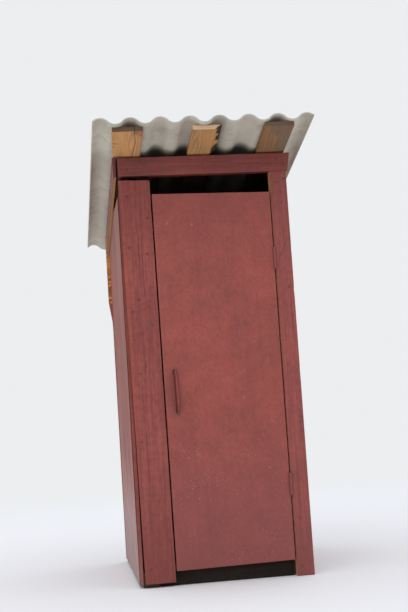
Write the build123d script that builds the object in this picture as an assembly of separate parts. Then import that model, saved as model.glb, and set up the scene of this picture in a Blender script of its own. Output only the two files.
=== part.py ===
"""Small mono-pitch wooden outhouse with a corrugated fibre-cement roof and one hinged door.

All lengths are in millimetres.
+X is to the right and +Y to the back when facing the door, and +Z is up.
The origin is on the ground, midway between the side walls, under the middle of the roof sheet's length.
Plan distances named "from the front" are measured back from the front face of the building.
"""
from build123d import *
from math import asin, cos, degrees, pi, radians, sin, sqrt, tan
import os

# Plan and height of the building
half_width = 450.0
depth = 1130.0
door_sill_height = 80.0
door_height = 1928.0
vent_height = 104.0
lintel_height = 99.0
roof_pitch = 12.0

# Timber sections
sill_width = 80.0
post_size = 50.0
front_board_thickness = 25.0
front_board_head_reach = 171.5
front_board_lean = 13.0
front_board_top_gap = 20.0
front_board_head_fall = 4.0
front_board_taper = 22.0
jamb_width = 90.0
jamb_depth = 50.0
lintel_depth = 50.0
lintel_overrun = 8.0
lintel_end_slant = 18.0
lintel_inset = 8.0
beam_height = 95.0
plate_thickness = 40.0
plate_height = 225.0
rail_thickness = 18.0
rail_height = 105.0
rail_roof_gap = 8.0
girt_thickness = 40.0
girt_height = 80.0
girt_level = 1000.0
floor_thickness = 25.0
cladding_thickness = 22.0

# Cladding
cladding_ground_gap = 15.0
front_board_ground_gap = 20.0
side_board_count = 7
back_board_count = 6
floor_board_count = 6
board_joint = 1.5
back_board_overlap = 8.0
back_board_left_overlap = 20.0
left_short_board_count = 3
left_short_board_drop = 102.0
cladding_roof_gap = 20.0

# Door and its running gaps; the door was cut to an opening that is out of square
door_left_gap = 7.0
door_right_gap = 7.0
door_head_fall = 11.0
door_foot_rise = 9.0
door_sheet_thickness = 4.0
door_frame_thickness = 24.0
door_stile_width = 60.0
door_rail_height = 90.0
floor_setback = 38.0

# Pull handle
handle_inset = 58.5
handle_center_height = 981.0
handle_length = 254.0
handle_lean = -1.2
handle_foot_length = 38.0
handle_foot_width = 26.0
handle_foot_thickness = 2.5
handle_grip_width = 21.0
handle_wall = 2.2
handle_reach = 38.0
handle_bend_radius = 26.0

# Butt hinges
hinge_height = 112.0
hinge_levels = (469.0, 1649.0)
hinge_pin_diameter = 6.0
hinge_knuckle_diameter = 13.0
hinge_leaf_thickness = 2.0
hinge_leaf_width = 24.0
hinge_pin_play = 0.08
hinge_knuckle_count = 5
hinge_knuckle_play = 0.5
hinge_pin_head = 3.0
hinge_pin_head_inset = 1.0

# Roof
roof_board_thickness = 25.0
roof_board_tail = 110.0
roof_board_widths = {"left": 156.0, "middle": 155.0, "right": 151.0}
roof_board_overhangs = {"left": 272.0, "middle": 270.0, "right": 285.0}
left_roof_board_lap = 26.0
middle_roof_board_shift = 7.5
middle_roof_board_wane = 25.0
right_roof_board_inset = 0.0
sheet_length = 1750.0
sheet_overhang = 300.0
sheet_shift = -8.0
sheet_thickness = 5.8
sheet_height = 40.0
wave_pitch = 150.0
wave_count = 8
sheet_seat = 0.3

# Derived levels and plan lines
slope = tan(radians(roof_pitch))
lintel_bottom = door_sill_height + door_height + vent_height
lintel_top = lintel_bottom + lintel_height
roof_line_front = lintel_top + slope * lintel_depth
sheet_run = sheet_length * cos(radians(roof_pitch))
front_y = sheet_overhang - sheet_run / 2
inner_half = half_width - cladding_thickness
post_inner = inner_half - post_size
back_inner = depth - cladding_thickness
back_post_front = back_inner - post_size
beam_bottom = roof_line_front - slope * back_inner - beam_height
jamb_inner = half_width - jamb_width
front_board_head = lintel_bottom - front_board_top_gap
front_board_head_right = -half_width + front_board_head_reach
door_head_level = door_sill_height + door_height
door_right_edge = jamb_inner - door_right_gap
floor_top = door_sill_height + floor_thickness

os.makedirs("parts", exist_ok=True)


def roof_underside(from_front):
    """Level of the roof boards' lower face; they rest on the back arris of the square lintel."""
    return roof_line_front - slope * from_front


def block(x_range, y_range, z_range):
    """Squared timber between two limits on each axis, with Y counted from the front face."""
    (x0, x1), (y0, y1), (z0, z1) = x_range, y_range, z_range
    middle = ((x0 + x1) / 2, front_y + (y0 + y1) / 2, (z0 + z1) / 2)
    return Pos(*middle) * Box(x1 - x0, y1 - y0, z1 - z0)


def side_cut(x_range, outline):
    """Timber with a shaped side elevation: (from front, level) corners, extruded across X."""
    x0, x1 = x_range
    corners = [(front_y + y, z) for y, z in outline]
    face = Plane.YZ.offset(x0) * make_face(Polyline(*corners, close=True))
    return extrude(face, amount=x1 - x0)


def front_cut(y_range, outline):
    """Timber with a shaped front elevation: (x, level) corners, extruded from front to back."""
    y0, y1 = y_range
    plane = Plane.XZ.offset(-(front_y + y0))
    return extrude(plane * make_face(Polyline(*outline, close=True)), amount=-(y1 - y0))


def sloping_timber(x_range, y_range, height, roof_gap=0):
    """Timber under the roof boards, with plumb ends and an optional gap above it."""
    y0, y1 = y_range
    outline = [
        (y0, roof_underside(y0) - roof_gap - height),
        (y1, roof_underside(y1) - roof_gap - height),
        (y1, roof_underside(y1) - roof_gap),
        (y0, roof_underside(y0) - roof_gap),
    ]
    return side_cut(x_range, outline)


def shares(start, end, count, joint):
    """Limits of a run of equal boards between two lines, with an open joint between neighbours."""
    board = (end - start - joint * (count - 1)) / count
    return [(start + i * (board + joint), start + i * (board + joint) + board) for i in range(count)]


def front_board_right(level):
    """Right edge of the fixed front board, which is nailed on a little out of plumb."""
    share = (front_board_head - level) / (front_board_head - front_board_ground_gap)
    return front_board_head_right + front_board_lean * share


def door_left_edge(level):
    """Left edge of the door, one running gap from the front board all the way down."""
    return front_board_right(level) + door_left_gap


def sills():
    """Ground frame: two long side runners with a cross piece at each end."""
    height = (0, door_sill_height)
    runner_inner = inner_half - sill_width
    across = (-runner_inner, runner_inner)
    return {
        "left_sill": block((-inner_half, -runner_inner), (front_board_thickness, back_inner), height),
        "right_sill": block((runner_inner, inner_half), (jamb_depth, back_inner), height),
        "front_sill": block(across, (floor_setback, floor_setback + sill_width), height),
        "back_sill": block(across, (back_inner - sill_width, back_inner), height),
    }


def posts():
    """Corner posts, the post behind the front board's door edge, and the thick right jamb."""
    left_x = (-inner_half, -post_inner)
    right_x = (post_inner, inner_half)
    front_range = (front_board_thickness, front_board_thickness + post_size)
    back_range = (back_post_front, back_inner)
    stud = (front_board_head_right - plate_thickness, front_board_head_right)
    stud_range = (front_board_thickness, front_board_thickness + plate_thickness)
    return {
        "left_front_post": block(left_x, front_range, (door_sill_height, lintel_bottom)),
        "left_door_post": block(stud, stud_range, (door_sill_height, lintel_bottom)),
        "right_jamb": block((jamb_inner, half_width), (0, jamb_depth), (0, lintel_bottom)),
        "left_back_post": block(left_x, back_range, (door_sill_height, beam_bottom)),
        "right_back_post": block(right_x, back_range, (door_sill_height, beam_bottom)),
    }


def roof_bearers():
    """Square lintel, sawn aslant at its right end, and the back beam, planed to the roof's pitch."""
    left_end = -half_width + lintel_inset
    right_end = half_width + lintel_overrun
    front = [
        (left_end, lintel_bottom),
        (right_end, lintel_bottom),
        (right_end + lintel_end_slant, lintel_top),
        (left_end, lintel_top),
    ]
    rear = [
        (back_post_front, beam_bottom),
        (back_inner, beam_bottom),
        (back_inner, roof_underside(back_inner)),
        (back_post_front, roof_underside(back_post_front)),
    ]
    return {
        "lintel": front_cut((0, lintel_depth), front),
        "back_beam": side_cut((-inner_half, inner_half), rear),
    }


def side_rails():
    """Wide bare planks inside each side wall, and the eaves rails: the left one outside its boards."""
    left_span = (front_board_thickness + post_size, back_post_front)
    right_span = (jamb_depth, back_post_front)
    left_x = (-inner_half, -inner_half + plate_thickness)
    right_x = (inner_half - plate_thickness, inner_half)
    outer = (-half_width - rail_thickness, -half_width)
    flush = (inner_half, half_width)
    return {
        "left_top_plank": sloping_timber(left_x, left_span, plate_height),
        "right_top_plank": sloping_timber(right_x, right_span, plate_height),
        "left_eaves_rail": sloping_timber(outer, (0, back_inner), rail_height, rail_roof_gap),
        "right_eaves_rail": sloping_timber(flush, (lintel_depth, back_inner), rail_height),
    }


def girts():
    """Horizontal rails at half height that the cladding is nailed to."""
    level = (girt_level - girt_height / 2, girt_level + girt_height / 2)
    girt_inner = inner_half - girt_thickness
    left_span = (front_board_thickness + post_size, back_post_front)
    return {
        "left_girt": block((-inner_half, -girt_inner), left_span, level),
        "right_girt": block((girt_inner, inner_half), (jamb_depth, back_post_front), level),
        "back_girt": block((-post_inner, post_inner), (back_inner - girt_thickness, back_inner), level),
    }


def front_board():
    """Wide fixed board left of the door, narrower at its foot than at its head."""
    foot = front_board_ground_gap
    outline = [
        (-half_width + lintel_inset + front_board_taper, foot),
        (front_board_right(foot), foot),
        (front_board_head_right, front_board_head - front_board_head_fall),
        (-half_width + lintel_inset, front_board_head),
    ]
    return front_cut((0, front_board_thickness), outline)


def left_cladding():
    """Vertical boards: the front ones sawn off short and level, the rest reaching up behind the rail."""
    level = lintel_bottom - left_short_board_drop
    plan = shares(front_board_thickness, back_inner, side_board_count, board_joint)
    boards = []
    for index, (y0, y1) in enumerate(plan):
        if index < left_short_board_count:
            heads = [(y0, level), (y1, level)]
        else:
            heads = [(y, roof_underside(y) - cladding_roof_gap) for y in (y0, y1)]
        outline = [(y0, cladding_ground_gap), (y1, cladding_ground_gap), heads[1], heads[0]]
        boards.append(side_cut((-half_width, -inner_half), outline))
    return Compound(children=boards)


def right_cladding():
    """Vertical boards that butt up under the right eaves rail."""
    boards = []
    for y0, y1 in shares(jamb_depth, back_inner, side_board_count, board_joint):
        heads = [(y, roof_underside(y) - rail_height) for y in (y0, y1)]
        outline = [(y0, cladding_ground_gap), (y1, cladding_ground_gap), heads[1], heads[0]]
        boards.append(side_cut((inner_half, half_width), outline))
    return Compound(children=boards)


def back_cladding():
    """Vertical boards over the back frame, lapping the side walls' ends and the left rail's end."""
    reach = half_width + back_board_overlap
    left_limit = -half_width - back_board_left_overlap
    top = roof_underside(depth)
    boards = []
    for x0, x1 in shares(left_limit, reach, back_board_count, board_joint):
        outline = [
            (back_inner, cladding_ground_gap),
            (depth, cladding_ground_gap),
            (depth, top),
            (back_inner, roof_underside(back_inner)),
        ]
        boards.append(side_cut((x0, x1), outline))
    return Compound(children=boards)


def floor():
    """Floor boards across the sills, the front one notched round the posts."""
    span = (-post_inner, post_inner)
    height = (door_sill_height, floor_top)
    boards = []
    for y_range in shares(floor_setback, back_post_front, floor_board_count, board_joint):
        boards.append(block(span, y_range, height))
    stud = (front_board_head_right - plate_thickness - board_joint, front_board_head_right + board_joint)
    stud_end = front_board_thickness + plate_thickness + board_joint
    boards[0] -= block(stud, (0, stud_end), height)
    boards[0] -= block((jamb_inner - board_joint, half_width), (0, jamb_depth + board_joint), height)
    return Compound(children=boards)


def between(start, end, share):
    """Point at a share of the way from one point to another."""
    return tuple(a + (b - a) * share for a, b in zip(start, end))


def door():
    """Flat sheet on a five-piece frame, both cut to the four corners of the skewed opening."""
    foot_left_level = door_sill_height - door_foot_rise / 2
    head_left_level = door_head_level + door_head_fall / 2
    foot_left = (door_left_edge(foot_left_level), foot_left_level)
    head_left = (door_left_edge(head_left_level), head_left_level)
    foot_right = (door_right_edge, foot_left_level + door_foot_rise)
    head_right = (door_right_edge, head_left_level - door_head_fall)

    # Corners of the stiles along the foot and the head of the door
    foot_width = foot_right[0] - foot_left[0]
    head_width = head_right[0] - head_left[0]
    foot_inner = [between(foot_left, foot_right, door_stile_width / foot_width),
                  between(foot_right, foot_left, door_stile_width / foot_width)]
    head_inner = [between(head_left, head_right, door_stile_width / head_width),
                  between(head_right, head_left, door_stile_width / head_width)]

    sheet_range = (0, door_sheet_thickness)
    frame_range = (door_sheet_thickness, door_sheet_thickness + door_frame_thickness)

    def rail(low, high):
        """Rail between the stiles, from one share of the door's height to another."""
        left = [between(foot_inner[0], head_inner[0], level) for level in (low, high)]
        right = [between(foot_inner[1], head_inner[1], level) for level in (low, high)]
        return front_cut(frame_range, [left[0], right[0], right[1], left[1]])

    share = door_rail_height / door_height
    return {
        "door_sheet": front_cut(sheet_range, [foot_left, foot_right, head_right, head_left]),
        "door_stile_left": front_cut(frame_range, [foot_left, foot_inner[0], head_inner[0], head_left]),
        "door_stile_right": front_cut(
            frame_range, [foot_inner[1], foot_right, head_right, head_inner[1]]),
        "door_rail_bottom": rail(0, share),
        "door_rail_middle": rail(0.5 - share / 2, 0.5 + share / 2),
        "door_rail_top": rail(1 - share, 1),
    }


def handle():
    """Pressed steel pull handle: a bowed channel, open to the door, between two flat feet."""
    foot_span = handle_length / 2 - handle_foot_length / 2
    bow = handle_reach - handle_grip_width / 2
    rise = handle_foot_length
    path = FilletPolyline(
        (0, 0, -foot_span),
        (0, -bow, -foot_span + rise),
        (0, -bow, foot_span - rise),
        (0, 0, foot_span),
        radius=handle_bend_radius,
    )
    outer = handle_grip_width / 2
    ring = Circle(outer) - Circle(outer - handle_wall)
    open_side = Pos(0, outer) * Rectangle(handle_grip_width * 2, handle_grip_width)
    channel = Plane(path @ 0, x_dir=(1, 0, 0), z_dir=path % 0) * (ring - open_side)
    grip = sweep(channel, path=path)
    for side in (-1, 1):
        foot = Box(handle_foot_width, handle_foot_thickness, handle_foot_length)
        foot = fillet(foot.edges().filter_by(Axis.Y), handle_foot_width * 0.35)
        grip += Pos(0, -handle_foot_thickness / 2, side * foot_span) * foot
    room = (handle_foot_width * 4, handle_reach * 4, handle_length * 2)
    grip -= Box(*room, align=(Align.CENTER, Align.MIN, Align.CENTER))
    center_x = door_left_edge(handle_center_height) + handle_inset
    return Pos(center_x, front_y, handle_center_height) * Rot(0, handle_lean, 0) * grip


def hinge(level):
    """Butt hinge let into the gap between door and jamb: fixed leaf, moving leaf and pin."""
    axis_x = (door_right_edge + jamb_inner) / 2
    axis_y = front_y - hinge_knuckle_diameter / 2
    knuckle = hinge_height / hinge_knuckle_count
    knuckle_radius = hinge_knuckle_diameter / 2
    bore = hinge_pin_diameter / 2 + hinge_pin_play
    leaves = {}
    for name, side, parity in (("jamb", 1, 0), ("door", -1, 1)):
        edge = jamb_inner if side > 0 else door_right_edge
        plate_x = edge - side * hinge_leaf_thickness / 2
        plate_y = front_y + hinge_leaf_width / 2
        leaf = Pos(plate_x, plate_y, level) * Box(hinge_leaf_thickness, hinge_leaf_width, hinge_height)
        for index in range(hinge_knuckle_count):
            if index % 2 != parity:
                continue
            middle = level - hinge_height / 2 + (index + 0.5) * knuckle
            tall = knuckle - hinge_knuckle_play
            leaf += Pos(axis_x, axis_y, middle) * Cylinder(knuckle_radius, tall)
            strap_width = abs(plate_x - axis_x) + hinge_leaf_thickness / 2
            strap = Box(strap_width, knuckle_radius, tall)
            leaf += Pos(axis_x + side * strap_width / 2, axis_y + knuckle_radius / 2, middle) * strap
        for index in range(hinge_knuckle_count):
            if index % 2 == parity:
                continue
            middle = level - hinge_height / 2 + (index + 0.5) * knuckle
            leaf -= Pos(axis_x, axis_y, middle) * Cylinder(knuckle_radius + hinge_knuckle_play, knuckle)
        leaf -= Pos(axis_x, axis_y, level) * Cylinder(bore, hinge_height * 2)
        leaves[name] = leaf
    pin = Cylinder(hinge_pin_diameter / 2, hinge_height)
    for end in (-1, 1):
        head = Cylinder(knuckle_radius - hinge_pin_head_inset, hinge_pin_head)
        pin += Pos(0, 0, end * (hinge_height / 2 + hinge_pin_head / 2)) * head
    leaves["pin"] = Pos(axis_x, axis_y, level) * pin
    return leaves


def on_roof(shape):
    """Put a shape drawn flat on the roof plane: x across, y down the slope from the front, z off it."""
    return Location((0, front_y, roof_line_front), (-roof_pitch, 0, 0)) * shape


def roof_board(place):
    """Flat board from ahead of the lintel to past the back wall; the middle one has a waney edge."""
    board_width = roof_board_widths[place]
    overhang = roof_board_overhangs[place]
    left_edges = {
        "left": -half_width - left_roof_board_lap,
        "middle": middle_roof_board_shift - board_width / 2,
        "right": half_width - right_roof_board_inset - board_width,
    }
    start = -overhang / cos(radians(roof_pitch))
    end = (depth + roof_board_tail) / cos(radians(roof_pitch))
    wane = middle_roof_board_wane if place == "middle" else 0
    top = roof_board_thickness
    section = [(0, 0), (board_width - wane, 0), (board_width, top), (0, top)]
    board = extrude(Plane.XZ * make_face(Polyline(*section, close=True)), amount=-(end - start))
    return on_roof(Pos(left_edges[place], start, 0) * board)


def wave_edge(offset):
    """Arcs of the corrugation at an offset from its middle line, from left to right."""
    middle_height = (sheet_height - sheet_thickness) / 2
    half_chord = wave_pitch / 4
    radius = (half_chord**2 + middle_height**2) / (2 * middle_height)
    lean = asin(half_chord / radius)
    start = -wave_pitch * (2 * wave_count - 1) / 4
    arcs = []
    for index in range(2 * wave_count - 1):
        side = 1 if index % 2 == 0 else -1
        center_x = start + half_chord * (2 * index + 1)
        center_z = side * (middle_height - radius)
        arm = radius + side * offset
        turns = (-lean, 0, lean)
        ends = [(center_x + arm * sin(t), center_z + side * arm * cos(t)) for t in turns]
        arcs.append(ThreePointArc(*ends))
    return arcs


def roof_sheet():
    """Eight-wave fibre-cement sheet, its troughs resting on the roof boards."""
    top = wave_edge(sheet_thickness / 2)
    bottom = wave_edge(-sheet_thickness / 2)
    ends = [Line(bottom[0] @ 0, top[0] @ 0), Line(bottom[-1] @ 1, top[-1] @ 1)]
    section = make_face(top + bottom + ends)
    solid = extrude(Plane.XZ * section, amount=-sheet_length)
    start = -sheet_overhang / cos(radians(roof_pitch))
    return on_roof(Pos(sheet_shift, start, roof_board_thickness + sheet_seat + sheet_height / 2) * solid)


nodes = {}
nodes.update(sills())
nodes.update(posts())
nodes.update(roof_bearers())
nodes.update(side_rails())
nodes.update(girts())
nodes["front_board"] = front_board()
nodes["left_wall_boards"] = left_cladding()
nodes["right_wall_boards"] = right_cladding()
nodes["back_wall_boards"] = back_cladding()
nodes["floor_boards"] = floor()
nodes.update(door())
nodes["pull_handle"] = handle()
for place, level in zip(("lower", "upper"), hinge_levels):
    for piece, shape in hinge(level).items():
        nodes[f"{place}_hinge_{piece}"] = shape
for place in roof_board_widths:
    nodes[f"roof_board_{place}"] = roof_board(place)
nodes["roof_sheet"] = roof_sheet()

for name, shape in nodes.items():
    export_step(shape, f"parts/{name}.step")
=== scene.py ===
"""Dressing of a small red plank outhouse: worked boards, oil paint, nails, roof sheet and iron fittings.

Lengths are in metres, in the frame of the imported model: +X right, +Y to the back, +Z up.
"""

import logging
import math
import random
from dataclasses import dataclass
from enum import Enum
from types import SimpleNamespace

import bmesh
import bpy
import numpy as np
from mathutils import Matrix, Vector, noise

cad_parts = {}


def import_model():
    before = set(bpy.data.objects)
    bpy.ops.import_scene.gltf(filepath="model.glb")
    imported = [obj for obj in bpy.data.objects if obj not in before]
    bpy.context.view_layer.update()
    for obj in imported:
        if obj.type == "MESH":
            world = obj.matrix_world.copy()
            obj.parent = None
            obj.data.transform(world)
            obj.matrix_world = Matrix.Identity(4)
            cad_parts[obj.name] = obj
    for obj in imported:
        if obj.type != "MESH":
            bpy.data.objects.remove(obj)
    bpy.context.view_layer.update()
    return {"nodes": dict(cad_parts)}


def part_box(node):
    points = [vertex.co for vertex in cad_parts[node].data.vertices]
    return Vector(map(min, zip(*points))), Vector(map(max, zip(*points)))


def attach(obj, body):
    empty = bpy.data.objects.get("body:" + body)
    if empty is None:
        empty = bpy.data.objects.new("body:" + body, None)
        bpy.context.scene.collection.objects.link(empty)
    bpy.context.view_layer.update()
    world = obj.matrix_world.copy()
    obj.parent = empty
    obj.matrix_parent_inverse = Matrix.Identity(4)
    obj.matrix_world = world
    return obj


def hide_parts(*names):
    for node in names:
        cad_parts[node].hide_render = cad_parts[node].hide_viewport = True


LOG = logging.getLogger("outhouse")
MM = 0.001
X, Y, Z = Vector((1, 0, 0)), Vector((0, 1, 0)), Vector((0, 0, 1))
ROOF_PITCH = math.radians(12.0)
ROOF_ALONG = Vector((0.0, math.cos(ROOF_PITCH), -math.sin(ROOF_PITCH)))
ROOF_NORMAL = Vector((0.0, math.sin(ROOF_PITCH), math.cos(ROOF_PITCH)))
FRONT = -0.5559
BUILDING = "building"
DOOR = "door"

Colour = tuple[float, float, float]
Spots = tuple[tuple[float, float], ...]
Solid = bmesh.types.BMesh
Piece = bpy.types.Object

# Spans over which the painted shade inside the building, and the nails' later coat, come and go. Of X,
# without its sign: into the walls' inner sides.
INSIDE_WALLS = (0.449, 0.441)
# Of Y: towards the front faces of the posts, which stand behind the wide board and take the painted shade at
# every height.
POST_FRONTS = (FRONT + 34 * MM, FRONT + 28 * MM)
# Of Z: up into the painted shade under the roof, and down to where the nails have been painted over.
UNDER_ROOF = (1.78, 2.02)
REPAINTED = (1.45, 1.36)


# Shader graph helpers

class Wire:
    """Result of a node, which operators join to further Math nodes."""

    def __init__(self, graph: "Graph", socket: bpy.types.NodeSocket) -> None:
        """Keep an output socket and the graph that it is in."""
        self.graph = graph
        self.socket = socket

    def reckon(self, operation: str, other) -> "Wire":
        """Place a Math node, or a Vector Math node where this is a vector or the other is written as one."""
        vectors = self.socket.type == "VECTOR" or isinstance(other, tuple)
        return (self.graph.vector if vectors else self.graph.math)(operation, self, other)

    def __add__(self, other) -> "Wire":
        """Return the sum."""
        return self.reckon("ADD", other)

    def __sub__(self, other) -> "Wire":
        """Return the difference."""
        return self.reckon("SUBTRACT", other)

    def __mul__(self, other) -> "Wire":
        """Return the product, part by part for vectors."""
        return self.reckon("MULTIPLY", other)

    def __truediv__(self, other) -> "Wire":
        """Return the quotient."""
        return self.reckon("DIVIDE", other)

    def __or__(self, other) -> "Wire":
        """Return the greater of the two, which joins two masks."""
        return self.reckon("MAXIMUM", other)

    def __abs__(self) -> "Wire":
        """Return the size without the sign."""
        return self.graph.math("ABSOLUTE", self)

    def ramp(self, low: float, high: float, start: float = 0.0, end: float = 1.0) -> "Wire":
        """Return a smooth step from start to end as this goes from low to high."""
        terms = (self, low, high, start, end)
        return self.graph.result("ShaderNodeMapRange", *terms, interpolation_type="SMOOTHSTEP")


class Graph:
    """Places shader nodes in one tree and joins them."""

    def __init__(self, tree: bpy.types.NodeTree) -> None:
        """Start with an empty tree, of a material, a world or a group."""
        self.tree = tree
        self.tree.nodes.clear()

    def put(self, target: bpy.types.NodeSocket, value) -> None:
        """Join or set one input.

        Args:
            target: The input socket.
            value: A wire or an output socket to link, or a plain number, colour or vector.
        """
        if isinstance(value, Wire):
            value = value.socket
        if isinstance(value, bpy.types.NodeSocket):
            self.tree.links.new(value, target)
        elif target.type == "RGBA":
            target.default_value = (*value, 1.0)
        else:
            target.default_value = value

    def fill(self, node: bpy.types.Node, **inputs) -> bpy.types.Node:
        """Join or set a node's inputs by name, with a low line for each space in the name."""
        for name, value in inputs.items():
            self.put(node.inputs[name.replace("_", " ")], value)
        return node

    def node(self, kind: str, *terms, **settings) -> bpy.types.Node:
        """Add a node, set its properties and put terms into its first inputs."""
        node = self.tree.nodes.new(kind)
        for name, value in settings.items():
            setattr(node, name, value)
        for socket, term in zip(node.inputs, terms):
            self.put(socket, term)
        return node

    def result(self, kind: str, *terms, **settings) -> Wire:
        """Add a node and return its first output."""
        return Wire(self, self.node(kind, *terms, **settings).outputs[0])

    def math(self, operation: str, *terms, clamp: bool = False) -> Wire:
        """Return the result of a Math node."""
        return self.result("ShaderNodeMath", *terms, operation=operation, use_clamp=clamp)

    def less(self, first, second) -> Wire:
        """Return one number less another, kept within 0 and 1."""
        return self.math("SUBTRACT", first, second, clamp=True)

    def vector(self, operation: str, *terms) -> Wire:
        """Return the vector or the value of a Vector Math node."""
        node = self.node("ShaderNodeVectorMath", *terms, operation=operation)
        return Wire(self, node.outputs["Value" if operation in ("LENGTH", "DISTANCE") else "Vector"])

    def split(self, vector: Wire) -> list[Wire]:
        """Return the three parts of a vector."""
        return [Wire(self, part) for part in self.node("ShaderNodeSeparateXYZ", vector).outputs]

    def joined(self, x, y, z) -> Wire:
        """Return a vector made of three numbers."""
        return self.result("ShaderNodeCombineXYZ", x, y, z)

    def attribute(self, name: str) -> Wire:
        """Return a mesh attribute as a vector."""
        return Wire(self, self.node("ShaderNodeAttribute", attribute_name=name).outputs["Vector"])

    def parts(self, name: str) -> list[Wire]:
        """Return the three parts of a mesh attribute."""
        return self.split(self.attribute(name))

    def here(self) -> Wire:
        """Return the place on the piece in object coordinates."""
        return Wire(self, self.node("ShaderNodeTexCoord").outputs["Object"])

    def noise(self, vector: Wire, scale=1.0, detail=2.0, rough=0.5, warp=0.0) -> Wire:
        """Return a noise value of about 0 to 1."""
        node = self.node("ShaderNodeTexNoise", noise_dimensions="3D")
        self.fill(node, Vector=vector, Scale=scale, Detail=detail, Roughness=rough, Distortion=warp)
        return Wire(self, node.outputs[0])

    def cells(self, vector: Wire, scale: float = 1.0) -> Wire:
        """Return the distance to the nearest cell point."""
        node = self.node("ShaderNodeTexVoronoi", feature="F1")
        self.fill(node, Vector=vector, Scale=scale, Randomness=1.0)
        return Wire(self, node.outputs["Distance"])

    def mix(self, share, first, second, blend: str = "MIX") -> Wire:
        """Return two colours mixed by a share."""
        node = self.node("ShaderNodeMix", share, data_type="RGBA", blend_type=blend)
        self.put(node.inputs[6], first)
        self.put(node.inputs[7], second)
        return Wire(self, node.outputs[2])

    def layered(self, base, *layers: tuple) -> Wire:
        """Return a colour with others laid over it in turn, each given as its share and itself."""
        for share, colour in layers:
            base = self.mix(share, base, colour)
        return base

    def lit(self, colour, light: Wire) -> Wire:
        """Return a colour times a number."""
        return self.mix(1.0, colour, self.joined(light, light, light), "MULTIPLY")

    def blend(self, share, first, second) -> Wire:
        """Return two numbers mixed by a share."""
        node = self.node("ShaderNodeMix", share, data_type="FLOAT")
        self.put(node.inputs[2], first)
        self.put(node.inputs[3], second)
        return Wire(self, node.outputs[0])

    def relief(self, height: Wire, distance: float) -> Wire:
        """Return a normal bumped by a height of 0 to 1 times a distance."""
        node = self.node("ShaderNodeBump")
        self.fill(node, Height=height, Distance=distance, Strength=1.0)
        return Wire(self, node.outputs[0])

    def use(self, effect: "Effect", **inputs) -> SimpleNamespace:
        """Place a shared effect.

        Args:
            effect: The effect whose group is placed.
            inputs: Its inputs by name.

        Returns:
            The outputs under their names in small letters.
        """
        node = self.fill(self.node("ShaderNodeGroup", node_tree=effect.tree()), **inputs)
        found = {socket.name.lower().replace(" ", "_"): Wire(self, socket) for socket in node.outputs}
        return SimpleNamespace(**found)


# Shared effects

NUMBER = "NodeSocketFloat"
VECTOR = "NodeSocketVector"


class Effect:
    """A shader node group that several finishes use, built the first time it is asked for."""

    name = "effect"
    takes: dict[str, str] = {}
    gives: tuple[str, ...] = ()

    def tree(self) -> bpy.types.NodeTree:
        """Return the group's tree, and build it if it isn't there yet."""
        made = bpy.data.node_groups.get(self.name)
        if made is not None:
            return made
        tree = bpy.data.node_groups.new(self.name, "ShaderNodeTree")
        graph = Graph(tree)
        for name, kind in self.takes.items():
            tree.interface.new_socket(name=name, in_out="INPUT", socket_type=kind)
        for name in self.gives:
            tree.interface.new_socket(name=name, in_out="OUTPUT", socket_type=NUMBER)
        source = graph.node("NodeGroupInput")
        results = self.build(graph, *(Wire(graph, source.outputs[name]) for name in self.takes))
        graph.node("NodeGroupOutput", *results)
        return tree

    def build(self, graph: Graph, *given: Wire) -> tuple[Wire, ...]:
        """Add the group's nodes from its inputs and return its outputs, both in their order."""
        raise NotImplementedError


class WoodFigure(Effect):
    """Year rings round a pith beside the board, fibres along it and knots through it."""

    name = "wood_figure"
    takes = {"Place": VECTOR, "Seed": NUMBER, "Ring": NUMBER}
    gives = ("Late Wood", "Fibre", "Knot", "Cloud")

    def build(self, graph: Graph, place: Wire, seed: Wire, ring: Wire) -> tuple[Wire, ...]:
        """Build the figure from board places: along, across and through."""
        dice = graph.fill(graph.node("ShaderNodeTexWhiteNoise", noise_dimensions="1D"), W=seed)
        throw = Wire(graph, dice.outputs["Color"])
        beside, behind, _ = graph.split(throw)
        moved = place + throw * (23.0, 11.0, 7.0)
        _, across, through = graph.split(place)

        knot_cells = graph.cells(moved * (2.3, 7.0, 1.2))
        knot_size = graph.noise(moved, 60.0) * 0.03 + 0.045
        knot = (knot_cells - knot_size).ramp(0.03, 0.0)
        pull = knot_cells.ramp(0.30, 0.0, 0.0, 0.012)

        wander = graph.noise(moved * (1.6, 9.0, 9.0)) * 0.030 + pull
        side = beside * 0.11 + (across - 0.055)
        depth = behind * 0.07 + (through + 0.018)
        radius = graph.vector("LENGTH", graph.joined(side, depth, 0.0))
        turn = graph.math("FRACT", (radius + wander) / ring)
        late = turn.ramp(0.25, 0.86) * turn.ramp(1.0, 0.90)

        fine = graph.noise(moved * (9.0, 420.0, 420.0), 1.0, 3.0, 0.6)
        coarse = graph.noise(moved * (5.0, 90.0, 90.0))
        cloud = graph.noise(moved * (2.0, 10.0, 10.0), 1.0, 3.0)
        return late, graph.blend(0.45, fine, coarse), knot, cloud


class Weathering(Effect):
    """Marks of weather on a building: cloudy fading, runs of rain, chips and splash near the ground."""

    name = "weathering"
    takes = {"Place": VECTOR, "Seed": NUMBER}
    gives = ("Cloud", "Run", "Speck", "Splash", "Grit", "Mottle")

    def build(self, graph: Graph, place: Wire, seed: Wire) -> tuple[Wire, ...]:
        """Build the marks from object coordinates."""
        moved = place + graph.joined(seed * 3.1, 0.0, seed * 5.7)
        cloud = graph.noise(moved, 3.2, 4.0, 0.55, 0.3)
        run = graph.noise(moved * (38.0, 38.0, 1.3), 1.0, 3.0, 0.55)
        speck_cells = graph.cells(moved + moved * (0.0, 0.0, 0.35), 78.0)
        speck_size = graph.noise(moved, 13.0).ramp(0.56, 0.76, 0.0, 0.26)
        speck = (speck_cells - speck_size).ramp(0.03, -0.05)
        ragged = graph.noise(moved, 7.0, 4.0, 0.6) * -0.35 + graph.split(place)[2]
        grit = graph.noise(moved, 420.0, 2.0, 0.6)
        mottle = graph.noise(moved, 34.0, 3.0, 0.62)
        return cloud, run, speck, ragged.ramp(0.26, -0.18), grit, mottle


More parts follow.
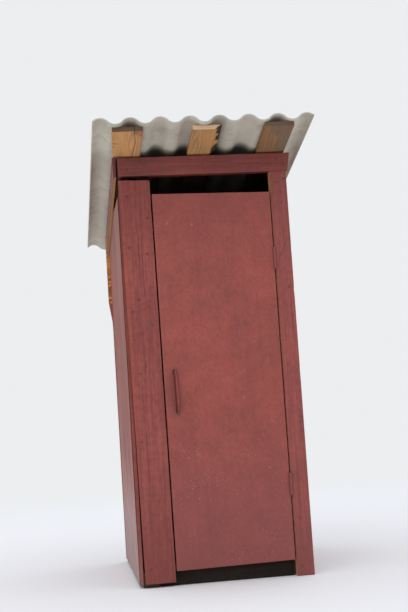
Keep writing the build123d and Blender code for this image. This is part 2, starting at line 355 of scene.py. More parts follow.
class DryingCrack(Effect):
    """A crack along the grain, from the stored distance to its line and its half width."""

    name = "drying_crack"
    takes = {"Place": VECTOR, "Offset": NUMBER, "Width": NUMBER}
    gives = ("Crack",)

    def build(self, graph: Graph, place: Wire, offset: Wire, width: Wire) -> tuple[Wire, ...]:
        """Let the crack wander, and widen and narrow along its way."""
        wander = graph.noise(place * (38.0, 12.0, 12.0), 1.0, 3.0, 0.6)
        moved = wander * 0.008 + (offset - 0.004)
        uneven = graph.noise(place * (90.0, 9.0, 9.0)).ramp(0.3, 0.7, 0.45, 1.25)
        beyond = abs(moved) - width * uneven
        return (beyond.ramp(0.6 * MM, -0.2 * MM) * width.ramp(0.05 * MM, 0.3 * MM),)


class NailMark(Effect):
    """Dark stain and pit round a nail, from the stored distance to it."""

    name = "nail_mark"
    takes = {"Place": VECTOR, "Distance": NUMBER}
    gives = ("Stain", "Pit")

    def build(self, graph: Graph, place: Wire, distance: Wire) -> tuple[Wire, ...]:
        """Break the ring up so that no two nails look the same."""
        near = graph.noise(place, 150.0, 3.0, 0.6) * 0.008 + (distance - 0.004)
        return near.ramp(11.5 * MM, 3.0 * MM), near.ramp(5.0 * MM, 3.4 * MM)


class ArrisWear(Effect):
    """Wear along arrises: where the finish has gone from an edge, and where it has only thinned."""

    name = "arris_wear"
    takes = {"Place": VECTOR, "Margin": NUMBER, "Seed": NUMBER, "Reach": NUMBER, "Amount": NUMBER}
    gives = ("Worn", "Thin")

    def build(self, graph: Graph, place: Wire, margin: Wire, seed: Wire, reach: Wire,
              amount: Wire) -> tuple[Wire, ...]:
        """Build the masks from the distance to the nearest arris."""
        shift = seed * 4.3
        moved = place + graph.joined(shift, shift, shift)
        patches = graph.noise(moved, 11.0, 3.0, 0.6) * 0.9
        ragged = graph.noise(moved, 160.0, 3.0, 0.65) * 0.55
        level = graph.less(1.0, margin / reach) * amount + (patches + ragged)
        return level.ramp(1.13, 1.19), level.ramp(0.85, 1.15)


WOOD_FIGURE = WoodFigure()
WEATHERING = Weathering()
DRYING_CRACK = DryingCrack()
NAIL_MARK = NailMark()
ARRIS_WEAR = ArrisWear()


# Finishes

@dataclass(frozen=True)
class Finish:
    """One finish of the building, made into a material the first time it is asked for."""

    name: str

    # Near-black colour of the painted shade inside the building.
    INSIDE_SHADE = (0.006, 0.0045, 0.0050)

    def material(self) -> bpy.types.Material:
        """Return the finish's material."""
        title = f"{self.name}_finish"
        made = bpy.data.materials.get(title)
        if made is not None:
            return made
        material = bpy.data.materials.new(title)
        material.use_nodes = True
        graph = Graph(material.node_tree)
        shader = graph.node("ShaderNodeBsdfPrincipled")
        graph.node("ShaderNodeOutputMaterial", shader.outputs[0])
        self.dress(graph, shader)
        return material

    def dress(self, graph: Graph, shader: bpy.types.Node) -> None:
        """Join the finish's nodes to the Principled shader."""
        raise NotImplementedError

    def shaded_inside(self, graph: Graph, colour: Wire, amount: float, start: float, reach: float = 35 * MM,
               below: float = 1.0) -> Wire:
        """Darken a colour with painted shade towards the inside of the building, most under the roof.

        Args:
            graph: The graph of the material.
            colour: The colour outside.
            amount: How dark the inside gets, 0 to 1.
            start: Distance from the front face at which the dark begins.
            reach: Distance over which it deepens.
            below: Share of the dark that is left below head height, behind the front.

        Returns:
            The darkened colour.
        """
        aside, depth, height = graph.split(graph.here())
        inside = depth.ramp(FRONT + start, FRONT + start + reach, 0.0, amount)
        level = height.ramp(*UNDER_ROOF, below, 1.0) | depth.ramp(*POST_FRONTS)
        return graph.mix(inside * abs(aside).ramp(*INSIDE_WALLS) * level, colour, self.INSIDE_SHADE)


@dataclass(frozen=True)
class Wood:
    """Colours of one kind of bare softwood."""

    early: Colour
    late: Colour
    grey: Colour
    knot: Colour
    greyed: float
    ring: float = 4.5 * MM

    def colours(self, graph: Graph, place: Wire, seed: Wire, tone: Wire) -> tuple[Wire, SimpleNamespace]:
        """Colour the wood by its figure.

        Args:
            graph: The graph of the material.
            place: The place in the board.
            seed: The board's own number.
            tone: How light the board is, about -1 to 1.

        Returns:
            The colour and the figure's outputs.
        """
        figure = graph.use(WOOD_FIGURE, Place=place, Seed=seed, Ring=self.ring)
        late = figure.late_wood * figure.cloud.ramp(0.25, 0.75, 0.55, 1.0)
        light = figure.fibre.ramp(0.30, 0.70, 0.80, 1.14) * (tone * 0.10 + 1.0)
        base = graph.lit(graph.mix(late, self.early, self.late), light)
        stain = figure.cloud.ramp(0.38, 0.70, 0.0, self.greyed)
        return graph.layered(base, (figure.knot * 0.85, self.knot), (stain, self.grey)), figure


PINE = Wood(early=(0.61, 0.33, 0.125), late=(0.39, 0.165, 0.053), grey=(0.30, 0.215, 0.14),
            knot=(0.11, 0.045, 0.020), greyed=0.35)
YELLOW_PINE = Wood(early=(0.86, 0.470, 0.165), late=(0.50, 0.240, 0.080), grey=(0.40, 0.245, 0.120),
                   knot=(0.11, 0.050, 0.022), greyed=0.50)
STALE_PINE = Wood(early=(0.31, 0.160, 0.068), late=(0.17, 0.080, 0.035), grey=(0.16, 0.115, 0.080),
                  knot=(0.07, 0.035, 0.02), greyed=0.80)
INSIDE_PINE = Wood(early=(0.42, 0.255, 0.118), late=(0.27, 0.135, 0.055), grey=(0.23, 0.18, 0.13),
                   knot=(0.10, 0.045, 0.022), greyed=0.55)
# Damp wood of the sills, darkened to near black as painted shade under the door and along the ground.
DAMP_SHADED_WOOD = Wood(early=(0.024, 0.018, 0.014), late=(0.014, 0.010, 0.008), grey=(0.022, 0.019, 0.017),
                 knot=(0.01, 0.007, 0.006), greyed=0.60)


@dataclass(frozen=True)
class BoardFinish(Finish):
    """Finish of a timber, which reads what the worked boards have stored."""

    wood: Wood

    def read(self, graph: Graph) -> SimpleNamespace:
        """Return the stored places and distances, the wood's colour and figure, and the marks on it."""
        at = SimpleNamespace(place=graph.attribute("place"), here=graph.here())
        at.aside, at.depth, at.height = graph.split(at.here)
        at.margin, at.end, at.bare = graph.parts("edges")
        seed, at.tone, at.bark = graph.parts("board")
        offset, width, nail = graph.parts("checks")
        at.seed = seed
        at.wood, at.figure = self.wood.colours(graph, at.place, seed, at.tone)
        at.marks = graph.use(WEATHERING, Place=at.here, Seed=seed)
        at.crack = graph.use(DRYING_CRACK, Place=at.place, Offset=offset, Width=width).crack
        at.nail = graph.use(NAIL_MARK, Place=at.here, Distance=nail)
        return at


@dataclass(frozen=True)
class BareBoard(BoardFinish):
    """Sawn softwood with no paint on it."""

    slot: str = "bare_timber"
    grime: float = 0.4
    sawn: float = 1.0
    end_colour: Colour = (0.16, 0.105, 0.07)
    end_cover: float = 0.45
    # Painted shade inside the building: how dark, from how far behind the front, and how much of it is left
    # below head height.
    inside_shade: float = 0.0
    shade_from: float = 10 * MM
    shade_below: float = 1.0
    shine: float = 0.35
    smears: float = 0.0

    SAW_MARK = (0.24, 0.15, 0.085)
    DIRT = (0.085, 0.065, 0.05)
    ARRIS = (0.13, 0.085, 0.055)
    SMEAR = (0.22, 0.045, 0.035)
    BARK = (0.055, 0.026, 0.014)
    CRACK = (0.030, 0.018, 0.012)
    NAIL_STAIN = (0.07, 0.045, 0.035)

    def dress(self, graph: Graph, shader: bpy.types.Node) -> None:
        """Colour the figure, darken arrises and end grain and raise the fibres."""
        at = self.read(graph)
        marks, figure = at.marks, at.figure
        saw = graph.noise(at.place * (260.0, 18.0, 18.0))
        arris = (marks.mottle * 0.006 + at.margin).ramp(6.5 * MM, 1.5 * MM, 0.0, 0.35 * self.sawn)
        smeared = (marks.mottle * 0.5 + marks.cloud).ramp(0.86, 0.92) * self.smears
        end_grain = at.end.ramp(1.6 * MM, 0.4 * MM) * (figure.late_wood * -0.25 + self.end_cover)
        flaky = graph.noise(at.here, 75.0, 3.0, 0.6) * 0.9 + at.bark
        colour = graph.layered(
            at.wood,
            (saw.ramp(0.45, 0.75, 0.0, 0.22 * self.sawn), self.SAW_MARK),
            (marks.cloud.ramp(0.42, 0.72) * (self.grime * self.sawn), self.DIRT),
            (arris, self.ARRIS),
            (smeared, self.SMEAR),
            (end_grain, self.end_colour),
            (flaky.ramp(0.88, 1.00), self.BARK),
            (at.crack * 0.9, self.CRACK),
            (at.nail.stain * 0.7, self.NAIL_STAIN),
        )
        # Painted shade on the bare wood inside the building.
        if self.inside_shade:
            colour = self.shaded_inside(graph, colour, self.inside_shade, self.shade_from, below=self.shade_below)
        height = figure.fibre * 0.7 + figure.late_wood * 0.3
        height = saw * 0.35 + height
        height = at.crack * -2.5 + height
        height = at.bark * marks.mottle * 2.5 + height
        graph.fill(shader, Base_Color=colour, Roughness=figure.fibre.ramp(0.2, 0.8, 0.90, 0.74),
                   Specular_IOR_Level=self.shine, Normal=graph.relief(height, 1.1 * MM))


@dataclass(frozen=True)
class PaintedBoard(BoardFinish):
    """Red oil paint brushed over boards, with the wood showing where it has worn or was never painted."""

    light: Colour
    dark: Colour
    slot: str = "red_paint"
    grain: float = 0.30
    wear: float = 0.30
    thin: float = 0.35
    wrap: float = 10 * MM
    gloss: float = 0.50
    shine: float = 0.45
    # Share of a pale painted sheen: painted reflection of the bright ground and sky.
    painted_sheen: float = 0.0
    uneven: float = 0.04
    # Share of a painted highlight along the wide board's left arris.
    arris_highlight: float = 0.0
    # Distance behind the front at which painted shade on the bare wood inside begins.
    shade_from: float = 60 * MM
    foot: Colour = (0.20, 0.052, 0.045)

    # Painted shade under the roof's overhang.
    EAVES_SHADE = (0.125, 0.021, 0.017)
    # Painted shade on faces set back from the front, and a painted highlight along the left arris.
    FLANK_SHADE = (0.105, 0.022, 0.019)
    ARRIS_HIGHLIGHT = (0.39, 0.092, 0.058)
    GRAIN = (0.095, 0.019, 0.017)
    RUN = (0.16, 0.040, 0.034)
    SPECK = (0.42, 0.20, 0.17)
    # Pale colours of the painted sheen, high and low on the wall.
    SHEEN_HIGH = (0.37, 0.220, 0.165)
    SHEEN_LOW = (0.54, 0.42, 0.41)
    # Painted shade in the joint at the wall's front end.
    FRONT_END_SHADE = (0.070, 0.012, 0.010)
    SOILED = (0.180, 0.052, 0.047)
    END = (0.085, 0.016, 0.012)
    THIN = (0.40, 0.115, 0.055)
    NAIL_STAIN = (0.085, 0.017, 0.016)
    CRACK = (0.045, 0.012, 0.011)
    # Bare orange wood, made lighter than its own colour as a painted highlight on the strip.
    ORANGE_WOOD = (0.80, 0.36, 0.080)
    RED_DAUB = (0.27, 0.040, 0.022)

    def dress(self, graph: Graph, shader: bpy.types.Node) -> None:
        """Lay paint over wood by the distance from the painted sides, and wear it at the arrises."""
        at = self.read(graph)
        marks, figure = at.marks, at.figure
        wear = graph.use(ARRIS_WEAR, Place=at.here, Margin=at.margin, Seed=at.seed, Reach=6 * MM,
                         Amount=self.wear)
        offset, width, _ = graph.parts("scratches")
        crack = at.crack | graph.use(DRYING_CRACK, Place=at.place, Offset=offset, Width=width).crack
        stroke = graph.noise(at.place * (2.2, 75.0, 75.0), 1.0, 4.0, 0.6)
        paint = self.brushed(graph, at, stroke)
        # Walls get the painted sheen; other boards get dirt near the ground.
        paint = self.sheened(graph, at, stroke, paint) if self.painted_sheen else self.soiled(graph, at, paint)
        paint = graph.layered(
            paint,
            # Near the ground: dirt on most boards, a pale painted reflection on the walls.
            (marks.splash * 0.40, self.foot),
            (at.end.ramp(2.2 * MM, 1.0 * MM, 0.0, 0.75), self.END),
            (wear.thin * self.thin, self.THIN),
            (at.nail.stain * at.height.ramp(*REPAINTED, 0.66, 0.34), self.NAIL_STAIN),
            (crack * 0.80, self.CRACK),
        )
        # Bare wood inside the building takes painted shade, less of it below head height.
        wood = self.daubed(graph, at, self.shaded_inside(graph, at.wood, 0.92, self.shade_from, below=0.30))
        ragged = graph.noise(at.here, 70.0, 3.0, 0.6) * 0.010 + (at.bare - 5 * MM)
        cover = graph.less(ragged.ramp(self.wrap, self.wrap - 1.2 * MM), wear.worn)
        polish = marks.mottle.ramp(0.3, 0.7, self.gloss - 0.05, self.gloss + 0.08)
        relief = figure.late_wood * 0.30 + figure.fibre * 0.45
        for height, share in ((stroke, 0.45), (cover, 0.45), (crack, -1.6), (at.nail.pit, -1.2)):
            relief = height * share + relief
        graph.fill(shader, Base_Color=graph.mix(cover, wood, paint),
                   Roughness=graph.blend(cover, 0.84, polish),
                   Specular_IOR_Level=self.shine, Normal=graph.relief(relief, 0.7 * MM))

    def brushed(self, graph: Graph, at: SimpleNamespace, stroke: Wire) -> Wire:
        """Return the paint as it was brushed on: with painted shade under the roof, streaked and with the
        grain in it.
        """
        marks, figure = at.marks, at.figure
        paint = graph.mix(marks.cloud.ramp(0.30, 0.70), self.dark, self.light)
        paint = graph.mix((marks.cloud * 0.3 + at.height).ramp(1.65, 2.35, 0.0, 0.38), paint, self.EAVES_SHADE)
        # Painted shade on the flanks behind the front face, and a lighter orange painted highlight along the
        # left arris.
        if self.arris_highlight:
            flank = at.depth.ramp(FRONT + 1.5 * MM, FRONT + 4.5 * MM)
            strip = at.margin.ramp(0.034, 0.006) * graph.split(at.place)[1].ramp(0.02, -0.02)
            strip = strip * marks.run.ramp(0.36, 0.56, 0.35, 1.0)
            strip = strip * at.height.ramp(2.02, 1.80) * at.height.ramp(0.70, 1.05, 0.15, 1.0)
            patchy = graph.less(strip, flank) * self.arris_highlight
            paint = graph.layered(paint, (flank * 0.55, self.FLANK_SHADE), (patchy, self.ARRIS_HIGHLIGHT))
        light = stroke.ramp(0.30, 0.70, 0.82, 1.16) * (at.tone * self.uneven + 1.0)
        light = light * marks.mottle.ramp(0.28, 0.72, 0.86, 1.13) * marks.grit.ramp(0.25, 0.75, 0.94, 1.06)
        ghost = figure.late_wood * figure.cloud.ramp(0.38, 0.66) | figure.fibre.ramp(0.58, 0.76)
        return graph.layered(
            graph.lit(paint, light),
            (ghost * self.grain, self.GRAIN),
            (marks.run.ramp(0.52, 0.80) * 0.20, self.RUN),
            (marks.speck * 0.22, self.SPECK),
        )

    def soiled(self, graph: Graph, at: SimpleNamespace, paint: Wire) -> Wire:
        """Return the paint with dirt on it near the ground."""
        return graph.mix((at.marks.cloud * -0.6 + at.height).ramp(0.80, -0.30, 0.0, 0.22), paint, self.SOILED)

    def sheened(self, graph: Graph, at: SimpleNamespace, stroke: Wire, paint: Wire) -> Wire:
        """Return the paint with a pale chalky bloom of painted sheen, a painted reflection of the bright
        ground and sky, strongest low on the left, and with painted shade in the joint at the wall's front
        end.
        """
        marks = at.marks
        sheen = marks.run * 0.22 + (marks.mottle * 0.28 + stroke * 0.75)
        low = (marks.cloud * -0.6 + at.height).ramp(0.55, -0.15) * at.aside.ramp(-0.4485, -0.4400, 1.0, 0.62)
        patch = graph.noise(at.here * (3.0, 3.0, 1.5), 1.0, 3.0, 0.6).ramp(0.36, 0.62, 0.35, 1.15)
        share = sheen.ramp(0.44, 0.76, 0.15, 1.0) * (low * 0.38 + self.painted_sheen) * graph.blend(low, patch, 1.05)
        share = share * (at.depth.ramp(FRONT + 26.2 * MM, FRONT + 28.5 * MM) * 0.85 + 0.15)
        front_end_shade = at.depth.ramp(FRONT + 30.5 * MM, FRONT + 27.0 * MM, 0.0, 0.85)
        return graph.layered(
            paint,
            (share, graph.mix(low, self.SHEEN_HIGH, self.SHEEN_LOW)),
            (front_end_shade * abs(at.aside).ramp(0.4436, 0.4458), self.FRONT_END_SHADE),
        )

    def daubed(self, graph: Graph, at: SimpleNamespace, wood: Wire) -> Wire:
        """Return the wood with the back board's outstanding strip a bright orange that is partly painted
        highlight, and dashed with red from beside.
        """
        strip = at.aside.ramp(-0.4500, -0.4520) * at.depth.ramp(0.5480, 0.5515)
        dash = graph.noise(at.here * (16.0, 16.0, 62.0), 1.0, 2.0, 0.6).ramp(0.44, 0.52)
        dash = dash * at.height.ramp(1.82, 1.70, 0.25, 0.95)
        return graph.mix(strip * 0.80, wood, graph.mix(dash, self.ORANGE_WOOD, self.RED_DAUB))


@dataclass(frozen=True)
class PaintedSheet(Finish):
    """The same red paint rolled on a smooth sheet, mottled and lightly chipped."""

    light: Colour
    dark: Colour
    slot: str = "door_paint"
    gloss: float = 0.50
    shine: float = 0.45
    # X, Z and radius of the chips that stand out.
    chips: tuple[tuple[float, float, float], ...] = (
        (-0.200, 1.853, 0.0040), (-0.0710, 1.846, 0.0045), (-0.165, 0.640, 0.004), (0.142, 0.930, 0.004),
        (0.255, 0.560, 0.005), (-0.120, 0.430, 0.004), (0.020, 0.395, 0.0035), (0.205, 0.905, 0.0035),
    )

    # Painted shade at the top of the door, under the roof's overhang.
    EAVES_SHADE = (0.140, 0.024, 0.019)
    CHIP = (0.47, 0.225, 0.190)
    # Hand grime round the handle, which is also the handle's painted shadow on the door.
    HANDLE_GRIME_AND_SHADOW = (0.165, 0.048, 0.036)
    FOOT = (0.185, 0.060, 0.056)
    THIN = (0.34, 0.10, 0.06)
    WORN = (0.20, 0.12, 0.07)

    def chipped(self, graph: Graph, here: Wire, height: Wire, broad: Wire) -> Wire:
        """Return a mask of chips: many small ones strewn low down, and the few that stand out."""
        low = (broad * 0.5 + height).ramp(1.45, 0.75, -0.14, 0.0)
        crowd = graph.noise(here, 7.0, 4.0, 0.65).ramp(0.42, 0.62, 0.13, 0.31)
        jagged = graph.noise(here, 260.0, 3.0, 0.7) * 0.30 + graph.cells(here * (0.8, 1.0, 1.2), 64.0)
        found = (jagged - (crowd + low)).ramp(0.10, 0.0)
        flat = here * (1.0, 0.0, 1.0)
        rough = graph.noise(here, 170.0, 3.0, 0.6)
        for x, z, radius in self.chips:
            away = rough * (radius * 1.6) + graph.vector("DISTANCE", flat, (x, 0.0, z))
            found = found | away.ramp(radius * 1.9, radius * 1.5)
        return found

    def dress(self, graph: Graph, shader: bpy.types.Node) -> None:
        """Mottle the paint and strew it with pale chips."""
        here, margin = graph.here(), graph.parts("edges")[0]
        height = graph.split(here)[2]
        marks = graph.use(WEATHERING, Place=here, Seed=0.37)
        wear = graph.use(ARRIS_WEAR, Place=here, Margin=margin, Seed=0.2, Reach=6 * MM, Amount=0.34)
        rolled = graph.noise(here * (1.0, 1.0, 0.6), 120.0, 3.0, 0.6)
        broad = graph.noise(here, 9.0, 3.0, 0.55)
        shade = marks.mottle.ramp(0.26, 0.74, 0.92, 1.07) * rolled.ramp(0.28, 0.72, 0.89, 1.10)
        shade = shade * broad.ramp(0.3, 0.7, 0.90, 1.07) * marks.run.ramp(0.3, 0.7, 0.96, 1.03)
        chipped = self.chipped(graph, here, height, broad)
        # Grime round the handle and the handle's painted shadow on the door.
        from_handle = graph.vector("LENGTH", (here - (-0.222, FRONT, 0.975)) * (1.0, 1.0, 0.30))
        paint = graph.layered(
            graph.lit(graph.mix(marks.cloud.ramp(0.32, 0.68), self.dark, self.light), shade),
            ((marks.cloud * 0.3 + height).ramp(1.70, 2.30, 0.0, 0.30), self.EAVES_SHADE),
            (chipped * rolled.ramp(0.3, 0.7, 0.25, 0.75), self.CHIP),
            ((marks.mottle * 0.02 + from_handle).ramp(0.062, 0.026, 0.0, 0.42), self.HANDLE_GRIME_AND_SHADOW),
            ((marks.cloud * -0.6 + height).ramp(0.75, -0.25, 0.0, 0.45), self.FOOT),
            (wear.thin * 0.25, self.THIN),
            (wear.worn, self.WORN),
        )
        relief = rolled * 0.5 + marks.grit * 0.3 - (wear.worn | chipped)
        graph.fill(shader, Base_Color=paint,
                   Roughness=marks.mottle.ramp(0.2, 0.8, self.gloss - 0.05, self.gloss + 0.08),
                   Specular_IOR_Level=self.shine, Normal=graph.relief(relief, 0.45 * MM))


@dataclass(frozen=True)
class CementSheet(Finish):
    """Matt fibre cement: pale below, stained and spotted with lichen above."""

    pale: Colour
    deep: Colour
    slot: str = "fibre_cement"
    wave: float = 0.15

    SOIL = (0.105, 0.097, 0.080)
    LICHEN = (0.24, 0.25, 0.15)
    # Dirt towards the right edge, and painted shade darkening the sheet towards the back.
    DIRT_AND_SHADE = (0.330, 0.280, 0.210)
    DAMP = (0.22, 0.195, 0.155)
    WORN_RIM = (0.66, 0.64, 0.58)

    def dress(self, graph: Graph, shader: bpy.types.Node) -> None:
        """Colour both skins by the sheet's own places: across, along and the skin's side."""
        across, along, above = graph.parts("place")
        rim, here = graph.parts("edges")[0], graph.here()
        marks = graph.use(WEATHERING, Place=here, Seed=0.81)
        cross = graph.noise(graph.joined(across * 9.0, along * 170.0, above), 1.0, 4.0, 0.65, 0.6)
        fibres = graph.noise(here, 240.0, 4.0, 0.65)
        cloud = graph.noise(here, 5.0, 4.0, 0.6)
        lined = cross.ramp(0.3, 0.7, 0.95, 1.04) * fibres.ramp(0.25, 0.75, 0.86, 1.10)
        valley = graph.math("COSINE", across * (math.tau / self.wave)).ramp(0.1, 1.0)
        runs = graph.noise(graph.joined(across * 60.0, along * 2.2, 0.0), 1.0, 4.0, 0.6)
        lichen = graph.noise(here, 28.0, 5.0, 0.7) + marks.cloud * 0.3
        base = graph.layered(
            graph.lit(graph.mix(cloud.ramp(0.3, 0.7), self.deep, self.pale), lined),
            ((valley * 0.35 + runs).ramp(0.45, 0.95) * above * 0.85, self.SOIL),
            (lichen.ramp(0.70, 0.80) * above * 0.6, self.LICHEN),
            (across.ramp(0.44, 0.55, 0.0, 0.42) | along.ramp(0.15, 0.75, 0.0, 0.26), self.DIRT_AND_SHADE),
            (graph.noise(here, 16.0, 3.0).ramp(0.52, 0.68) * 0.22, self.DAMP),
            ((fibres * 0.006 + rim).ramp(7.5 * MM, 3.5 * MM, 0.0, 0.75), self.WORN_RIM),
        )
        # The underside takes painted shade over the inside of the building.
        colour = graph.mix(above, self.shaded_inside(graph, base, 0.78, -5 * MM, 100 * MM), base)
        graph.fill(shader, Base_Color=colour, Roughness=fibres.ramp(0.2, 0.8, 0.95, 0.84),
                   Normal=graph.relief(fibres * 0.8 + cross * 0.3, 0.9 * MM))


@dataclass(frozen=True)
class Iron(Finish):
    """Steel fitting, painted over or bare, with rust where it is knocked or rubbed."""

    coat: Colour
    metal: Colour
    rust: Colour
    rubbed: float
    slot: str = "painted_iron"
    gloss: float = 0.42
    # Share of painted shade on the fitting's flanks.
    side_shade: float = 0.0
    shine: float = 0.5
    overpainted: float = 0.0

    GRIME = (0.105, 0.026, 0.022)
    # Painted shade on the flanks.
    SIDE_SHADE = (0.105, 0.014, 0.012)
    OVERPAINT = (0.24, 0.055, 0.047)

    def dress(self, graph: Graph, shader: bpy.types.Node) -> None:
        """Rub the coat off in patches down to dark metal and rust."""
        here = graph.here()
        patches = graph.noise(here, 55.0, 4.0, 0.65)
        fine = graph.noise(here, 420.0, 3.0, 0.6)
        gone = (fine * 0.35 + patches + graph.parts("rub")[0]).ramp(0.92 - self.rubbed, 0.99 - self.rubbed)
        rusty = graph.mix(fine.ramp(0.35, 0.7), self.metal, self.rust)
        # Painted shade on the flanks: in full on those facing left, in part on those facing right.
        facing = graph.split(Wire(graph, graph.node("ShaderNodeTexCoord").outputs["Normal"]))[0]
        shady = facing.ramp(0.05, -0.50) | facing.ramp(0.45, 0.95, 0.0, 0.6)
        coat = graph.layered(
            self.coat,
            (patches.ramp(0.3, 0.7, 0.0, 0.30), self.GRIME),
            (shady * self.side_shade, self.SIDE_SHADE),
            (graph.split(here)[2].ramp(*REPAINTED, 0.0, self.overpainted), self.OVERPAINT),
        )
        graph.fill(shader, Base_Color=graph.mix(gone, coat, rusty), Metallic=gone * 0.35,
                   Roughness=graph.blend(gone, self.gloss, 0.62), Specular_IOR_Level=self.shine,
                   Normal=graph.relief(fine - gone, 0.3 * MM))


RED = (0.318, 0.0660, 0.0540)
DEEP_RED = (0.266, 0.0550, 0.0450)
# The wide board's paint, with a painted highlight along its left arris.
BOARD_PAINT = PaintedBoard("board_paint", INSIDE_PINE, (0.318, 0.0800, 0.0670), (0.270, 0.0670, 0.0570),
                           grain=0.42, wear=0.24, thin=0.40, arris_highlight=0.50, shine=0.22, gloss=0.56)
JAMB_PAINT = PaintedBoard("jamb_paint", YELLOW_PINE, RED, DEEP_RED, grain=0.26, wear=0.24, wrap=5 * MM,
                          shade_from=50 * MM)
# A darker copy of the red paint for the lintel and eaves rails, partly painted shade under the roof's
# overhang.
RAIL_PAINT = PaintedBoard("rail_paint", PINE, (0.272, 0.0460, 0.0370), (0.205, 0.0350, 0.0285), grain=0.80,
                          wear=0.18, wrap=4 * MM)
# The walls' pale bloom and pale foot are painted reflection of the bright ground and sky.
WALL_PAINT = PaintedBoard("wall_paint", PINE, RED, DEEP_RED, grain=0.36, wear=0.22, gloss=0.62, shine=0.25,
                          painted_sheen=0.46, uneven=0.10, foot=(0.30, 0.19, 0.175))
DOOR_PAINT = PaintedSheet("door_paint", (0.328, 0.0635, 0.0490), (0.280, 0.0560, 0.0440))
# The roof boards take painted shade behind the front, inside the building.
LEFT_ROOF_PINE = BareBoard("left_roof_pine", PINE, grime=0.15, end_colour=(0.080, 0.050, 0.035),
                           end_cover=1.0, inside_shade=0.90, smears=0.6)
MIDDLE_ROOF_PINE = BareBoard("middle_roof_pine", PINE, grime=0.20, end_colour=(0.62, 0.42, 0.26),
                             end_cover=1.0, inside_shade=0.90, smears=0.3)
BROWN_PINE = BareBoard("brown_pine", STALE_PINE, "weathered_timber", grime=0.30,
                       end_colour=(0.100, 0.060, 0.036), end_cover=0.9, inside_shade=0.90)
FRESH_PINE = BareBoard("fresh_pine", PINE, grime=0.15, smears=0.5)
FRAME_PINE = BareBoard("frame_pine", INSIDE_PINE)
# Posts, back beam and right plank: bare wood painted near black with shade inside, in full on the posts'
# fronts.
HEAD_PINE = BareBoard("head_pine", INSIDE_PINE, grime=0.60, inside_shade=0.985, shade_from=-20 * MM, shade_below=0.35,
                      shine=0.05)
DAMP_SHADED_PINE = BareBoard("damp_pine", DAMP_SHADED_WOOD, grime=0.60, sawn=0.15, shine=0.08)
CEMENT = CementSheet("fibre_cement", (0.640, 0.600, 0.500), (0.510, 0.475, 0.395))
PAINTED_IRON = Iron("painted_iron", (0.260, 0.0560, 0.0440), (0.16, 0.085, 0.075), (0.16, 0.065, 0.03),
                    rubbed=0.02)
# The handle has painted shade on its flanks.
HANDLE_IRON = Iron("handle_iron", (0.310, 0.0720, 0.0570), (0.22, 0.125, 0.110), (0.17, 0.075, 0.055),
                   rubbed=0.03, side_shade=0.95, shine=0.2, gloss=0.5)
BARE_IRON = Iron("bare_iron", (0.10, 0.05, 0.035), (0.12, 0.105, 0.10), (0.17, 0.07, 0.03), rubbed=0.45,
                 slot="bare_iron")
NAIL_IRON = Iron("nail_iron", (0.085, 0.020, 0.018), (0.045, 0.032, 0.028), (0.075, 0.030, 0.018),
                 rubbed=0.06, slot="red_paint", overpainted=0.70)
CAP_IRON = Iron("cap_iron", (0.20, 0.19, 0.18), (0.24, 0.235, 0.23), (0.16, 0.070, 0.035), rubbed=0.30)


# Mesh helpers

# Distance in metres that stands for no nail, crack or painted face being near.
FAR = 1.0


def places(verts) -> np.ndarray:
    """Return where some vertices are."""
    return np.array([tuple(vert.co) for vert in verts])


def columns(*parts) -> np.ndarray:
    """Return three rows of numbers, or single numbers, as one vector for each point."""
    return np.stack(np.broadcast_arrays(*parts), 1)


def store(mesh: bpy.types.Mesh, name: str, values: np.ndarray) -> None:
    """Keep a vector for each point of a mesh."""
    layer = mesh.attributes.new(name, "FLOAT_VECTOR", "POINT")
    layer.data.foreach_set("vector", np.ascontiguousarray(values, dtype=np.float32).ravel())


def solid_of(node: Piece, merge: float, flat: float) -> Solid:
    """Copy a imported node, with points closer than merge and faces within flat degrees made one."""
    solid = bmesh.new()
    solid.from_mesh(node.data)
    bmesh.ops.remove_doubles(solid, verts=solid.verts, dist=merge)
    bmesh.ops.dissolve_limit(solid, angle_limit=math.radians(flat), verts=solid.verts, edges=solid.edges)
    return solid


def rounded(solid: Solid, edges: list, offset: float) -> None:
    """Round some edges of a solid."""
    bmesh.ops.bevel(solid, geom=edges, offset=offset, offset_type="OFFSET", segments=2, profile=0.5,
                    affect="EDGES", material=-1, clamp_overlap=True)


def sliced(solid: Solid, at: Vector, square: Vector, geometry: list | None = None,
           slack: float = 1e-6) -> list:
    """Cut faces of a solid along a plane.

    Args:
        solid: The solid.
        at: A point of the plane.
        square: The direction square to the plane.
        geometry: What to cut; all of it where this isn't given.
        slack: Distance within which a point counts as in the plane.

    Returns:
        What was given, and what the cut has made of it.
    """
    if geometry is None:
        geometry = solid.verts[:] + solid.edges[:] + solid.faces[:]
    return bmesh.ops.bisect_plane(solid, geom=geometry, dist=slack, plane_co=at, plane_no=square)["geom"]


def meshed(solid: Solid, name: str) -> bpy.types.Mesh:
    """Turn a solid into a mesh and let the solid go."""
    mesh = bpy.data.meshes.new(name)
    solid.to_mesh(mesh)
    solid.free()
    return mesh


def linked(name: str, data: bpy.types.ID) -> Piece:
    """Put a new object into the scene."""
    piece = bpy.data.objects.new(name, data)
    bpy.context.scene.collection.objects.link(piece)
    return piece


def finished(mesh: bpy.types.Mesh, finish: Finish, body: str, *nodes: str) -> Piece:
    """Make a piece of a mesh with its finish, hang it on its body and hide the nodes that it stands for."""
    piece = linked(mesh.name, mesh)
    mesh.materials.append(finish.material())
    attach(piece, body)
    if nodes:
        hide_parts(*nodes)
    return piece


def weigh_normals(piece: Piece) -> Piece:
    """Keep broad faces flat beside their narrow bevels."""
    piece.data.shade_smooth()
    shade = piece.modifiers.new("flat_faces", "WEIGHTED_NORMAL")
    shade.weight = 70
    shade.keep_sharp = True
    return piece


def crease(piece: Piece, degrees: float) -> Piece:
    """Shade a piece smooth but for its edges sharper than this."""
    piece.data.shade_smooth()
    piece.data.set_sharp_from_angle(angle=math.radians(degrees))
    return piece


